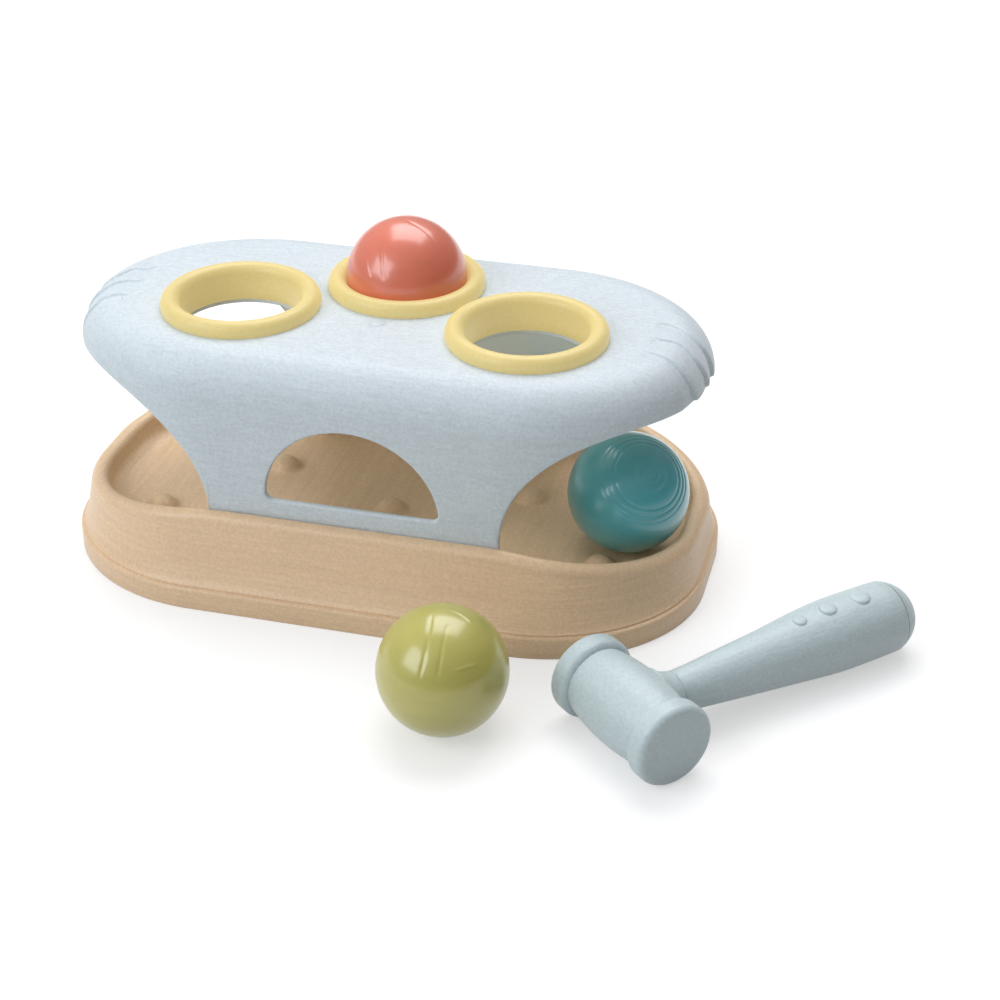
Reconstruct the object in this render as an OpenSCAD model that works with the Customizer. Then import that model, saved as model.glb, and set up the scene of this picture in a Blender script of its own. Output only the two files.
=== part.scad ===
// Ball pounding bench: a bench with three ring holes over a catch tray, three balls and a mallet.
// Millimetres. X runs along the bench, -Y is the front, +Z is up.
// The origin is the centre of the underside of the base plate.

/* [Bench body] */
// Length of the bench over its rounded ends
body_len = 239.4; // [228:0.2:246]
// Width of the bench at its top edge
body_w = 119.8; // [117:0.2:122]
// Height of the flat top above the floor
body_h = 98.4; // [96:0.2:112]
// Length of each rounded end of the bench
body_end_len = 66.5; // [60:0.5:75]
// Radius of the rounded top edge
edge_r = 15.6; // [12:0.2:17]
// Wall thickness of the shell
body_wall = 2.5; // [2:0.1:3.2]
// How far each long wall leans in on its way down to the tray
wall_lean = 4.2; // [3.4:0.1:5]
// Length of each long wall where it stands on the tray
leg_span = 110; // [104:0.5:114]
// Length of the curved flank at each end of the long walls
flank_len = 52; // [44:0.5:56]

/* [Wave grooves] */
// Where the grooves start on the flat top, measured from the middle of the bench
wave_start = 96.7; // [92:0.1:100]
// Distance between the three grooves of one end
wave_pitch = 13; // [10:0.5:15]
// How far a groove runs towards the front on its way to the end
wave_drop = 8; // [4:0.5:10]
// Width of a groove
wave_w = 1.6; // [1:0.1:2.4]
// Depth of a groove
wave_depth = 0.9; // [0.5:0.1:1.2]

/* [Arch] */
// Width of the arch in the front wall
arch_w = 64; // [50:0.5:70]
// Height of the strip of wall below the arch
arch_sill = 8; // [6:0.2:12]
// Radius of the arch's two lower corners
arch_corner_r = 3; // [2:0.1:5]

/* [Rings] */
// Distance between the centres of the two outer rings
ring_span = 108.4; // [104:0.2:114]
// How far the outer rings lie in front of the bench's middle line
outer_ring_front = 13.1; // [11.5:0.1:15]
// How far the middle ring lies behind the bench's middle line
middle_ring_back = 18.4; // [15:0.1:20]
// Radial clearance between a ball and the bore of its ring
ball_fit = 0.1; // [0.05:0.01:0.1]
// Radius of the rounding on top of the ring's lip
lip_r = 3.45; // [3:0.05:4]
// Height of the straight foot of the lip on the bench
lip_foot_h = 1.9; // [0.5:0.1:2.5]
// Wall thickness of the ring's neck
ring_wall = 2.3; // [1.8:0.1:3]
// Depth of the ring's neck below the top of the bench
ring_depth = 8.6; // [7:0.1:11]
// Radial clearance between the neck and its hole in the bench
ring_seat_gap = 0.1; // [0.05:0.01:0.2]
// Wall thickness of the collar that holds the ring below the top
collar_wall = 2; // [1.5:0.1:2.4]
// Thickness of the collar's ledge below the ring
collar_ledge = 1.5; // [1.2:0.1:2.5]

/* [Tray] */
// Length of the rim, measured on the middle of its rounded edge
rim_len = 232.8; // [229:0.2:236]
// Width of the rim, measured on the middle of its rounded edge
rim_w = 114.8; // [114:0.2:117]
// Radius of the rounded rim
rim_r = 3.54; // [3.2:0.02:4]
// Height of the rim where the bench stands on it
rim_h = 35.8; // [34:0.1:38]
// How much lower the rim lies at the two ends
rim_dip = 10; // [0:0.2:11]
// Length of the rim's rounded corners
rim_corner_len = 51.2; // [45:0.2:55]
// Width of the rim's rounded corners
rim_corner_w = 50.1; // [44:0.2:53]
// Height of the tray's floor, on its upper side
floor_h = 16; // [15:0.1:17]
// Wall thickness of the tray
tray_wall = 2.5; // [2:0.1:2.8]
// Width of a bump on the tray's floor
bump_d = 13; // [9:0.5:15]
// Height of a bump on the tray's floor
bump_h = 4.6; // [2:0.1:5.5]

/* [Base plate] */
// Length of the foot band on the floor
foot_len = 246; // [244:0.2:256]
// Width of the foot band on the floor
foot_w = 141.6; // [139:0.2:150]
// Length of the foot band's rounded corners
foot_corner_len = 63.4; // [58:0.2:68]
// Width of the foot band's rounded corners
foot_corner_w = 57.8; // [52:0.2:65]
// Height of the foot band up to the seam groove
band_h = 8.6; // [7:0.1:9]
// Height of the seam groove
groove_h = 0.8; // [0.6:0.1:1.8]
// Depth of the seam groove
groove_depth = 2.7; // [2.2:0.1:3]
// Thickness of the base plate
plate_t = 2.5; // [2:0.1:3]
// Width of the ledge that carries the tray
ledge_w = 2.5; // [2:0.1:4]

/* [Screws] */
// Diameter of a screw's shank
screw_d = 3; // [2.5:0.1:3.2]
// Diameter of a screw's head
screw_head_d = 6; // [5:0.1:6.2]
// Height of a screw's head
screw_head_h = 2; // [1.6:0.1:2.3]
// Length of the four screws below the bench
body_screw_len = 20; // [14:0.5:24]
// Length of the six screws in the base plate
base_screw_len = 9; // [7:0.5:10]
// Radial clearance around a screw
screw_fit = 0.1; // [0.05:0.05:0.2]

/* [Balls] */
// Diameter of a ball
ball_d = 45; // [44.6:0.1:46]
// Wall thickness of a ball
ball_wall = 2; // [1.5:0.1:3]
// Radius of the rounded grooves on the teal ball
ball_groove_r = 0.5; // [0.3:0.05:0.8]
// Height of the red ball's middle above the bench's top
red_ball_rise = 3.8; // [1:0.1:4.4]
// Place of the teal ball along the tray
teal_ball_x = 92.6; // [88:0.1:94]
// Distance of the teal ball in front of the middle line
teal_ball_front = 10.8; // [6:0.1:14]
// Place of the green ball along the bench
green_ball_x = 50.9; // [40:0.1:60]
// Distance of the green ball in front of the middle line
green_ball_front = 114.2; // [108:0.1:125]
// Height of a resting ball above the surface that carries it
ball_gap = 0.3; // [0.1:0.05:0.5]

/* [Hammer] */
// Length of the hammer's head over its two faces
head_len = 51.8; // [46:0.2:60]
// Diameter of the round faces
face_d = 30.4; // [29:0.2:34]
// Thickness of the rounded rim of each face
face_t = 8.4; // [6.6:0.1:9]
// Radius of the rounding on the rims of the faces
face_edge_r = 2.6; // [2:0.1:3.2]
// Diameter of the barrel beside the faces
barrel_end_d = 25.2; // [24:0.2:27]
// Diameter of the barrel at its middle
barrel_mid_d = 29; // [27.4:0.2:30]
// Wall thickness of the hammer's hollow pieces
hammer_wall = 2.5; // [2:0.1:3]
// Length of the hammer from the head's axis to the end of the handle
hammer_len = 120; // [110:0.2:150]
// Diameter of the handle where it leaves the head
handle_neck_d = 14.6; // [12:0.2:15]
// Largest diameter of the handle
handle_d = 26.6; // [24:0.2:28.6]
// Radial clearance of the pieces that are pressed together
hammer_fit = 0.05; // [0.05:0.01:0.1]
// Direction of the handle on the floor
hammer_angle = 46; // [30:1:60]
// Place of the hammer's head along the bench
hammer_x = 114; // [108:0.2:130]
// Distance of the hammer's head in front of the middle line
hammer_front = 109.6; // [105:0.2:130]

/* [Hidden] */
// Overrun that makes each cut pass its surface
over = 1;
// Smoothness of the true round shapes
$fn = 96;
// Points on each rounded corner of an outline
corner_points = 19;
// Extra points on the long sides, as shares of half the straight length
side_shares = [0.9, 0.77, -0.77, -0.9];
// Steps on the bench's rounded top edge
edge_steps = 6;
// Steps on the rounded rim of the tray
rim_steps = 8;
// Steps on a curved flank of the bench
flank_steps = 18;
// Steps along each wave groove
wave_steps = 16;

// Shares that place the bench's lower edge in the rim, and the gap beside it
seat_drop_share = 0.2;
seat_gap = 0.1;
// How much of the bench's half width its rounded ends take up
end_round = 0.98;
body_half_len = body_len / 2;
body_half_w = body_w / 2;
edge_h = body_h - edge_r;
rim_mid_h = rim_h - rim_r;
seat_h = rim_mid_h - rim_r * seat_drop_share;
flank_x = leg_span / 2 + flank_len;
seat_half_w = body_half_w - wall_lean;
// Outer side of the long wall at the height of the rim
wall_at_rim = seat_half_w + wall_lean * (rim_h - seat_h) / (edge_h - seat_h);

ball_r = ball_d / 2;
bore_r = ball_r + ball_fit;
lip_mid_r = bore_r + lip_r;
neck_r = bore_r + ring_wall;
hole_r = neck_r + ring_seat_gap;
// How far the ledge below the ring stays clear of the bore, as a share of the ring's wall
collar_bore_share = 0.22;
collar_bore_r = bore_r + ring_wall * collar_bore_share;
collar_h = body_h - ring_depth - collar_ledge;
ring_places = [
    [-ring_span / 2, -outer_ring_front],
    [0, middle_ring_back],
    [ring_span / 2, -outer_ring_front]
];

// How far the tray's lower edge overhangs the seam groove
tray_lap = 1.4;
tray_edge_h = band_h + groove_h;
tray_edge_inset = groove_depth - tray_lap;
// Steps of the flare above the seam: height, place between foot and rim, and inset,
// as shares of its height, of the whole way and of the inset of the lower edge
flare_h = 8.2;
flare_shares = [[0, 0, 1], [0.15, 0.06, 1.3], [0.51, 0.17, 1.35], [1, 0.385, 0.55]];
flare_last = len(flare_shares) - 1;
// Steps from the rim down to the floor: shares of the way down, of the way in and of the dip
inner_shares = [[0.35, 0.1, 0.72], [0.65, 0.24, 0.36], [0.85, 0.45, 0.12], [0.96, 0.72, 0.02], [1, 1, 0]];
inner_last = len(inner_shares) - 1;
inner_run = rim_r * 2;
// Where the rim starts to dip, and how the dip grows towards the ends
dip_start = leg_span * 0.455;
dip_power = 1.5;

// Bumps on the floor, as shares of the rim's half length and half width
bump_shares = [[-0.74, -0.5], [-0.435, 0.215], [0, -0.16], [0.435, 0.215], [0.74, -0.5]];

// Legs of the bench and the screw towers of the tray below them
leg_r = 4.2;
leg_rib_t = 2;
leg_clear = 2.5;
tower_r = leg_r * 1.28;
tower_x = leg_span * 0.4;
tower_y = seat_half_w - body_wall - leg_r - leg_clear;
tower_h = floor_h + leg_r * 2;
leg_top_h = (seat_h + edge_h) / 2;
head_seat_h = tower_h - leg_r;
leg_rib_end = seat_half_w - body_wall / 2 + wall_lean / 4;

// Bosses that join the base plate to the tray, as shares of the rim's half length and half width
boss_shares = [[-0.8, 0], [-0.38, -0.44], [-0.38, 0.44], [0.38, -0.44], [0.38, 0.44], [0.8, 0]];
boss_r = 4;
boss_cup_h = plate_t * 2;
plate_screw_seat = screw_head_h * 1.2;

red_ball_z = body_h + red_ball_rise;
teal_ball_z = floor_h + ball_gap + ball_r;

face_r = face_d / 2;
barrel_half = head_len / 2 - face_t;
barrel_rise = (barrel_mid_d - barrel_end_d) / 2;
barrel_arc_r = (barrel_half * barrel_half + barrel_rise * barrel_rise) / (2 * barrel_rise);
spigot_r = barrel_end_d / 2 - hammer_wall - hammer_fit;
spigot_len = face_t * 0.6;
neck_start = barrel_mid_d * 0.28;
neck_end = barrel_mid_d / 2 + face_r * 0.22;
neck_tip_r = handle_neck_d / 2 + hammer_wall * 0.16;
neck_root_r = neck_tip_r * 1.25;
tenon_r = handle_neck_d / 2 - hammer_wall * 0.6;
handle_neck_r = handle_neck_d / 2;
handle_peak_r = handle_d / 2;
handle_end_r = handle_peak_r * 0.98;
cap_dome_r = handle_peak_r;
cap_seam = hammer_len - cap_dome_r * 0.72;
cap_plug_len = handle_peak_r * 0.6;
cap_plug_r = handle_peak_r - hammer_wall - hammer_fit;
handle_peak = hammer_len * 0.7;
handle_steps = 10;
handle_power = 0.94;
// The handle leans down from the head until its thick end lies on the floor
handle_lean = asin((face_r - handle_peak_r) / (hammer_len - cap_dome_r));
// Dots on the handle: place along it and size, as shares of its length and of its largest radius
dot_shares = [[0.581, 0.195], [0.682, 0.245], [0.8, 0.286]];
dot_rise = hammer_wall * 0.3;
dot_root = hammer_wall * 0.4;

// Points of a rounded rectangle whose corners are quarter ellipses, with a few points on each long side
function outline(half_len, half_w, corner_len, corner_w) = [
    for (q = [0:3])
        let (
            side_x = (q == 0 || q == 3) ? 1 : -1,
            side_y = (q < 2) ? 1 : -1,
            straight_x = half_len - corner_len,
            straight_y = half_w - corner_w
        )
        each concat(
            [
                for (i = [0:corner_points - 1])
                    let (t = 90 * (q + i / (corner_points - 1)))
                    [side_x * straight_x + corner_len * cos(t), side_y * straight_y + corner_w * sin(t)]
            ],
            [for (share = q % 2 == 0 ? side_shares : []) [side_x * share * straight_x, side_y * half_w]]
        )
];

// One ring of a shell: an outline drawn in by inset, at one height
function flat_ring(half_len, half_w, corner_len, corner_w, inset, z) = [
    for (p = outline(half_len - inset, half_w - inset, corner_len - inset, corner_w - inset))
        [p[0], p[1], z]
];

// Shell between rings that all have as many points, closed by its first and its last ring
module loft(rings) {
    n = len(rings[0]);
    count = len(rings);
    side_faces = [
        for (k = [0:count - 2])
            for (i = [0:n - 1])
                for (half = [0:1])
                    let (j = (i + 1) % n, low = k * n, high = (k + 1) * n)
                    half == 0 ? [low + i, high + i, high + j] : [low + i, high + j, low + j]
    ];
    first_face = [for (i = [0:n - 1]) i];
    last_face = [for (i = [n - 1:-1:0]) (count - 1) * n + i];
    polyhedron(
        points = [for (ring = rings) each ring],
        faces = concat([first_face], side_faces, [last_face]),
        convexity = 10
    );
}

// Outer form of the bench, drawn in by inset all over
function body_rings(inset, bottom) = concat(
    [
        flat_ring(body_half_len, seat_half_w, body_end_len, seat_half_w * end_round, inset, bottom),
        flat_ring(body_half_len, body_half_w, body_end_len, body_half_w * end_round, inset, edge_h)
    ],
    [
        for (i = [1:edge_steps])
            let (t = 90 * i / edge_steps, r = edge_r - inset)
            flat_ring(
                body_half_len, body_half_w, body_end_len, body_half_w * end_round,
                inset + r * (1 - cos(t)), edge_h + r * sin(t)
            )
    ]
);

// What the two open ends take away from the walls
module flank_cut() {
    rotate([90, 0, 0])
        linear_extrude(body_w + 2 * over, center = true)
            for (side = [-1, 1])
                polygon([
                    for (i = [0:flank_steps])
                        let (t = 90 * i / flank_steps)
                        [
                            side * (flank_x - flank_len * cos(t)),
                            rim_h + (edge_h - rim_h) * sin(t)
                        ],
                    [side * (body_half_len + over), edge_h],
                    [side * (body_half_len + over), seat_h - over],
                    [side * leg_span / 2, seat_h - over]
                ]);
}

// Half-round opening of the front wall, with two rounded lower corners
module arch_cut() {
    r = arch_w / 2;
    corner_x = sqrt(pow(r - arch_corner_r, 2) - pow(arch_corner_r, 2));
    corner_top = arch_corner_r * r / (r - arch_corner_r);
    translate([0, 0, rim_h + arch_sill])
        rotate([90, 0, 0])
            linear_extrude(body_half_w + over) {
                intersection() {
                    circle(r);
                    translate([-r, corner_top])
                        square([2 * r, r]);
                }
                translate([-corner_x, 0])
                    square([2 * corner_x, corner_top]);
                for (side = [-1, 1])
                    translate([side * corner_x, arch_corner_r])
                        circle(arch_corner_r);
            }
}

// Sideways place of a groove after a share of its way to the end: two soft steps
function wave_y(share) = -wave_drop * (share + 0.06 * sin(720 * share));

// One groove of the positive end, from the flat top over the rounded edge, started at one place in Y
module wave_cut(start_y) {
    run = body_half_len + over - wave_start;
    end_y = abs(start_y + wave_y(1));
    end_x = body_half_len - body_end_len * (1 - sqrt(1 - pow(end_y / body_half_w, 2)));
    intersection() {
        translate([wave_start, start_y, edge_h])
            linear_extrude(edge_r + over) {
                polygon(concat(
                    [for (i = [0:wave_steps]) [run * i / wave_steps, wave_y(i / wave_steps) + wave_w / 2]],
                    [for (i = [wave_steps:-1:0]) [run * i / wave_steps, wave_y(i / wave_steps) - wave_w / 2]]
                ));
                circle(wave_w / 2, $fn = 24);
            }
        translate([0, start_y - wave_drop / 2, 0])
            rotate([90, 0, 0])
                linear_extrude(wave_drop * 2 + wave_w * 2, center = true)
                    difference() {
                        translate([wave_start - wave_w, edge_h])
                            square([run + 2 * wave_w, edge_r + over]);
                        translate([end_x - edge_r, edge_h])
                            circle(edge_r - wave_depth);
                        translate([wave_start - 2 * wave_w, edge_h - over])
                            square([end_x - edge_r - wave_start + 2 * wave_w, edge_r - wave_depth + over]);
                    }
    }
}

module wave_cuts() {
    for (side = [0, 1])
        mirror([side, 0, 0])
            for (i = [-1:1])
                wave_cut(i * wave_pitch);
}

module at_towers() {
    for (side_x = [-1, 1])
        for (side_y = [-1, 1])
            translate([side_x * tower_x, side_y * tower_y, 0])
                children();
}

module body_legs() {
    at_towers()
        translate([0, 0, tower_h])
            cylinder(h = leg_top_h - tower_h, r = leg_r);
    for (side_x = [-1, 1])
        for (side_y = [-1, 1])
            translate([
                side_x * tower_x - leg_rib_t / 2,
                side_y > 0 ? tower_y : -leg_rib_end,
                seat_h
            ])
                cube([leg_rib_t, leg_rib_end - tower_y, leg_top_h - seat_h]);
}

module collars() {
    for (place = ring_places)
        translate([place[0], place[1], collar_h])
            cylinder(h = body_h - body_wall / 2 - collar_h, r = hole_r + collar_wall);
}

module bench_body() {
    color("lightsteelblue")
        difference() {
            union() {
                difference() {
                    loft(body_rings(0, seat_h));
                    loft(body_rings(body_wall, seat_h - over));
                }
                collars();
                body_legs();
            }
            flank_cut();
            arch_cut();
            wave_cuts();
            for (place = ring_places) {
                translate([place[0], place[1], body_h - ring_depth])
                    cylinder(h = ring_depth + over, r = hole_r);
                translate([place[0], place[1], collar_h - over])
                    cylinder(h = collar_ledge + 2 * over, r = collar_bore_r);
            }
            at_towers()
                translate([0, 0, tower_h - over])
                    cylinder(h = body_screw_len + over, r = screw_d / 2 + screw_fit);
        }
}

module ring_bush(place) {
    color("khaki")
        translate([place[0], place[1], body_h])
            rotate_extrude() {
                intersection() {
                    translate([lip_mid_r, lip_foot_h])
                        circle(lip_r);
                    translate([bore_r, lip_foot_h])
                        square([2 * lip_r, lip_r]);
                }
                translate([bore_r, 0])
                    square([2 * lip_r, lip_foot_h]);
                translate([bore_r, -ring_depth])
                    square([ring_wall, ring_depth]);
            }
}

module left_ring() {
    ring_bush(ring_places[0]);
}

module middle_ring() {
    ring_bush(ring_places[1]);
}

module right_ring() {
    ring_bush(ring_places[2]);
}

// How much of the rim's dip applies at one place along the tray
function dip_at(x) =
    let (t = (abs(x) - dip_start) / (rim_len / 2 - dip_start))
    t <= 0 ? 0 : pow(min(t, 1), dip_power);

// One ring of the tray: the outline between foot and rim, at a height that dips by a share of rim_dip
function tray_ring(up_share, inset, z, dip_share) =
    let (
        half_len = foot_len / 2 + up_share * (rim_len - foot_len) / 2 - inset,
        half_w = foot_w / 2 + up_share * (rim_w - foot_w) / 2 - inset,
        corner_len = foot_corner_len + up_share * (rim_corner_len - foot_corner_len) - inset,
        corner_w = foot_corner_w + up_share * (rim_corner_w - foot_corner_w) - inset
    )
    [
        for (p = outline(half_len, half_w, corner_len, corner_w))
            [p[0], p[1], z - rim_dip * dip_share * dip_at(p[0])]
    ];

// Outer wall from the seam up to the end of the flare, moved in by inset
function flare_rings(inset) = [
    for (row = flare_shares)
        tray_ring(row[1], row[2] * tray_edge_inset + inset, tray_edge_h + row[0] * flare_h, 0)
];

// Half circle over the rim, from the outer side to the inner side
function rim_rings(r) = [
    for (i = [0:rim_steps])
        let (t = 180 * i / rim_steps)
        tray_ring(1, -r * cos(t), rim_mid_h + r * sin(t), 1)
];

// Inner side from the rim down to the floor, moved out and down by shift
function inner_rings(shift) = [
    for (row = inner_shares)
        tray_ring(
            1, rim_r + row[1] * inner_run - shift,
            rim_mid_h + row[0] * (floor_h - rim_mid_h) - shift * row[1], row[2]
        )
];

module tray_shell() {
    under = inner_rings(tray_wall);
    rim_in = rim_rings(rim_r * 0.3);
    inside = flare_rings(tray_wall);
    loft(concat(
        [for (k = [inner_last:-1:0]) under[k]],
        [for (k = [rim_steps:-1:0]) rim_in[k]],
        [for (k = [flare_last:-1:0]) inside[k]],
        flare_rings(0),
        rim_rings(rim_r),
        inner_rings(0)
    ));
}

module bumps() {
    cap_r = (pow(bump_d / 2, 2) + bump_h * bump_h) / (2 * bump_h);
    for (share = bump_shares)
        translate([share[0] * rim_len / 2, share[1] * rim_w / 2, floor_h])
            intersection() {
                translate([0, 0, bump_h - cap_r])
                    sphere(cap_r);
                translate([0, 0, -tray_wall / 2])
                    cylinder(h = bump_h + tray_wall, r = bump_d / 2);
            }
}

module at_bosses() {
    for (share = boss_shares)
        translate([share[0] * rim_len / 2, share[1] * rim_w / 2, 0])
            children();
}

// Steps in the rim that the long walls of the bench stand in
module wall_seats() {
    for (side = [-1, 1])
        translate([
            -leg_span / 2 - seat_gap,
            side > 0 ? tower_y : -wall_at_rim - seat_gap,
            seat_h
        ])
            cube([leg_span + 2 * seat_gap, wall_at_rim + seat_gap - tower_y, rim_r * 2]);
}

module tray() {
    color("burlywood")
        difference() {
            union() {
                tray_shell();
                bumps();
                at_towers()
                    translate([0, 0, floor_h - tray_wall])
                        cylinder(h = tower_h - floor_h + tray_wall, r = tower_r);
                at_bosses()
                    translate([0, 0, boss_cup_h])
                        cylinder(h = floor_h - tray_wall / 2 - boss_cup_h, r = boss_r);
            }
            wall_seats();
            at_towers() {
                translate([0, 0, head_seat_h - over])
                    cylinder(h = tower_h, r = screw_d / 2 + screw_fit);
                cylinder(h = head_seat_h, r = screw_head_d / 2 + screw_fit);
            }
            at_bosses()
                cylinder(h = plate_screw_seat + base_screw_len + screw_fit, r = screw_d / 2 + screw_fit);
        }
}

module base_plate() {
    bevel = groove_h / 2;
    rings = [
        tray_ring(0, bevel, 0, 0),
        tray_ring(0, 0, bevel, 0),
        tray_ring(0, 0, band_h - bevel, 0),
        tray_ring(0, bevel, band_h, 0),
        tray_ring(0, groove_depth, band_h, 0),
        tray_ring(0, groove_depth, tray_edge_h, 0),
        tray_ring(0, groove_depth + ledge_w, tray_edge_h, 0),
        tray_ring(0, groove_depth + ledge_w, plate_t, 0)
    ];
    color("tan")
        difference() {
            union() {
                loft(rings);
                at_bosses()
                    cylinder(h = boss_cup_h, r = boss_r + ledge_w / 2);
            }
            at_bosses() {
                translate([0, 0, -over])
                    cylinder(h = plate_screw_seat + over, r = screw_head_d / 2 + screw_fit);
                cylinder(h = boss_cup_h + over, r = screw_d / 2 + screw_fit);
            }
        }
}

// Screw with its head at the bottom and its shank upwards from z = 0
module screw(length) {
    cross_w = screw_head_d * 0.16;
    cross_len = screw_head_d * 0.6;
    cylinder(h = length, r = screw_d / 2);
    difference() {
        translate([0, 0, -screw_head_h])
            cylinder(h = screw_head_h, r = screw_head_d / 2);
        for (turn = [0, 90])
            rotate([0, 0, turn])
                translate([-cross_len / 2, -cross_w / 2, -screw_head_h - over])
                    cube([cross_len, cross_w, over + screw_head_h / 2]);
    }
}

module body_screws() {
    color("silver")
        at_towers()
            translate([0, 0, head_seat_h])
                screw(body_screw_len);
}

module base_screws() {
    color("silver")
        at_bosses()
            translate([0, 0, plate_screw_seat])
                screw(base_screw_len);
}

// Hollow half ball above z = 0, with a locating lip below its rim if it has one
module half_ball(has_lip) {
    lip_outer = ball_r - ball_wall - hammer_fit;
    lip_inner = ball_r - ball_wall * 1.6;
    intersection() {
        difference() {
            sphere(ball_r);
            sphere(ball_r - ball_wall);
        }
        translate([0, 0, ball_r])
            cube(2 * ball_r, center = true);
    }
    if (has_lip)
        rotate_extrude() {
            translate([lip_inner, -ball_wall])
                square([lip_outer - lip_inner, ball_wall + over]);
            translate([lip_inner, 0])
                square([ball_r - ball_wall / 2 - lip_inner, over]);
        }
}

module tip(pole) {
    rotate([0, pole[1], pole[0]])
        children();
}

// Directions of the two halves: heading and tilt from straight up
red_pole = [-60, 20];
teal_pole = [-50.8, 44.3];
green_pole = [-68, 50];
groove_angles = [8, 18, 37, 45];

module red_ball_top() {
    color("indianred")
        translate([ring_places[1][0], ring_places[1][1], red_ball_z])
            tip(red_pole)
                half_ball(true);
}

module red_ball_bottom() {
    color("indianred")
        translate([ring_places[1][0], ring_places[1][1], red_ball_z])
            tip(red_pole)
                rotate([180, 0, 0])
                    half_ball(false);
}

module teal_ball_top() {
    color("cadetblue")
        translate([teal_ball_x, -teal_ball_front, teal_ball_z])
            tip(teal_pole)
                difference() {
                    half_ball(true);
                    for (angle = groove_angles)
                        rotate_extrude()
                            translate([ball_r * sin(angle), ball_r * cos(angle)])
                                circle(ball_groove_r, $fn = 24);
                }
}

module teal_ball_bottom() {
    color("cadetblue")
        translate([teal_ball_x, -teal_ball_front, teal_ball_z])
            tip(teal_pole)
                rotate([180, 0, 0])
                    half_ball(false);
}

module green_ball_top() {
    color("darkkhaki")
        translate([green_ball_x, -green_ball_front, ball_r])
            tip(green_pole)
                half_ball(true);
}

module green_ball_bottom() {
    color("darkkhaki")
        translate([green_ball_x, -green_ball_front, ball_r])
            tip(green_pole)
                rotate([180, 0, 0])
                    half_ball(false);
}

// The hammer's own frame: the head's axis along Y and the handle along X
module at_hammer() {
    translate([hammer_x, -hammer_front, face_r])
        rotate([0, handle_lean, hammer_angle])
            children();
}

// Barrel of revolution about Y, drawn in by inset, as long as half on each side
module barrel(inset, half) {
    rotate([90, 0, 0])
        rotate_extrude()
            intersection() {
                translate([barrel_mid_d / 2 - barrel_arc_r, 0])
                    circle(barrel_arc_r - inset, $fn = 360);
                translate([0, -half])
                    square([barrel_mid_d, 2 * half]);
            }
}

module hammer_head() {
    color("lightblue")
        at_hammer()
            difference() {
                union() {
                    barrel(0, barrel_half);
                    rotate([0, 90, 0])
                        translate([0, 0, neck_start])
                            cylinder(h = neck_end - neck_start, r1 = neck_root_r, r2 = neck_tip_r);
                }
                barrel(hammer_wall, barrel_half - hammer_wall);
                rotate([90, 0, 0])
                    cylinder(h = head_len, r = barrel_end_d / 2 - hammer_wall, center = true);
                rotate([0, 90, 0])
                    cylinder(h = neck_end + over, r = tenon_r + hammer_fit);
            }
}

// Striking cap on the positive side of the axis, from z = 0 at its inner side outwards
module face_cap() {
    mid = face_r - face_edge_r;
    difference() {
        rotate_extrude() {
            square([mid, face_t]);
            translate([0, face_edge_r])
                square([face_r, face_t - 2 * face_edge_r]);
            for (z = [face_edge_r, face_t - face_edge_r])
                translate([mid, z])
                    circle(face_edge_r);
            translate([0, -spigot_len])
                square([spigot_r, spigot_len + face_edge_r]);
        }
        translate([0, 0, -spigot_len - over])
            cylinder(h = spigot_len + over + face_t - hammer_wall, r = spigot_r - hammer_wall);
    }
}

module hammer_front_face() {
    color("lightblue")
        at_hammer()
            translate([0, -barrel_half, 0])
                rotate([90, 0, 0])
                    face_cap();
}

module hammer_back_face() {
    color("lightblue")
        at_hammer()
            translate([0, barrel_half, 0])
                rotate([-90, 0, 0])
                    face_cap();
}

// Radius of the handle at a place along it
function handle_r(s) =
    let (t = (s - neck_end) / (handle_peak - neck_end))
    handle_neck_r + (handle_peak_r - handle_neck_r) * pow(max(min(t, 1), 0), handle_power);

// Half section of the handle from one place along it to its widest place, drawn in by inset
module handle_section(inset, from) {
    polygon(concat(
        [[0, from]],
        [
            for (i = [0:handle_steps])
                let (s = from + (handle_peak - from) * i / handle_steps)
                [handle_r(s) - inset, s]
        ],
        [[0, handle_peak]]
    ));
}

module hammer_handle() {
    color("lightblue")
        at_hammer()
            rotate([0, 90, 0])
                difference() {
                    union() {
                        rotate_extrude()
                            handle_section(0, neck_end);
                        translate([0, 0, handle_peak])
                            cylinder(h = cap_seam - handle_peak, r1 = handle_peak_r, r2 = handle_end_r);
                        translate([0, 0, neck_start])
                            cylinder(h = neck_end - neck_start + over, r = tenon_r);
                        for (share = dot_shares)
                            handle_dot(share[0] * hammer_len, share[1] * handle_peak_r);
                    }
                    rotate_extrude()
                        handle_section(hammer_wall, neck_end + hammer_wall);
                    translate([0, 0, handle_peak - over])
                        cylinder(h = cap_seam - handle_peak + 2 * over, r = handle_peak_r - hammer_wall);
                }
}

// Low dome on the upper side of the handle
module handle_dot(place, r) {
    foot = handle_r(place) - dot_root;
    rise = dot_rise + dot_root;
    cap_r = (r * r + rise * rise) / (2 * rise);
    translate([0, 0, place])
        rotate([0, -90, 0])
            intersection() {
                translate([0, 0, foot + rise - cap_r])
                    sphere(cap_r);
                translate([0, 0, foot - dot_root])
                    cylinder(h = rise + 2 * dot_root, r = r);
            }
}

module hammer_end_cap() {
    color("lightblue")
        at_hammer()
            rotate([0, 90, 0])
                difference() {
                    union() {
                        intersection() {
                            translate([0, 0, hammer_len - cap_dome_r])
                                sphere(cap_dome_r);
                            translate([0, 0, cap_seam])
                                cylinder(h = cap_dome_r, r = cap_dome_r);
                        }
                        translate([0, 0, cap_seam - cap_plug_len])
                            cylinder(h = cap_plug_len + over, r = cap_plug_r);
                    }
                    translate([0, 0, cap_seam - cap_plug_len - over])
                        cylinder(h = cap_plug_len + over + hammer_wall / 2, r = cap_plug_r - hammer_wall);
                }
}

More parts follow.
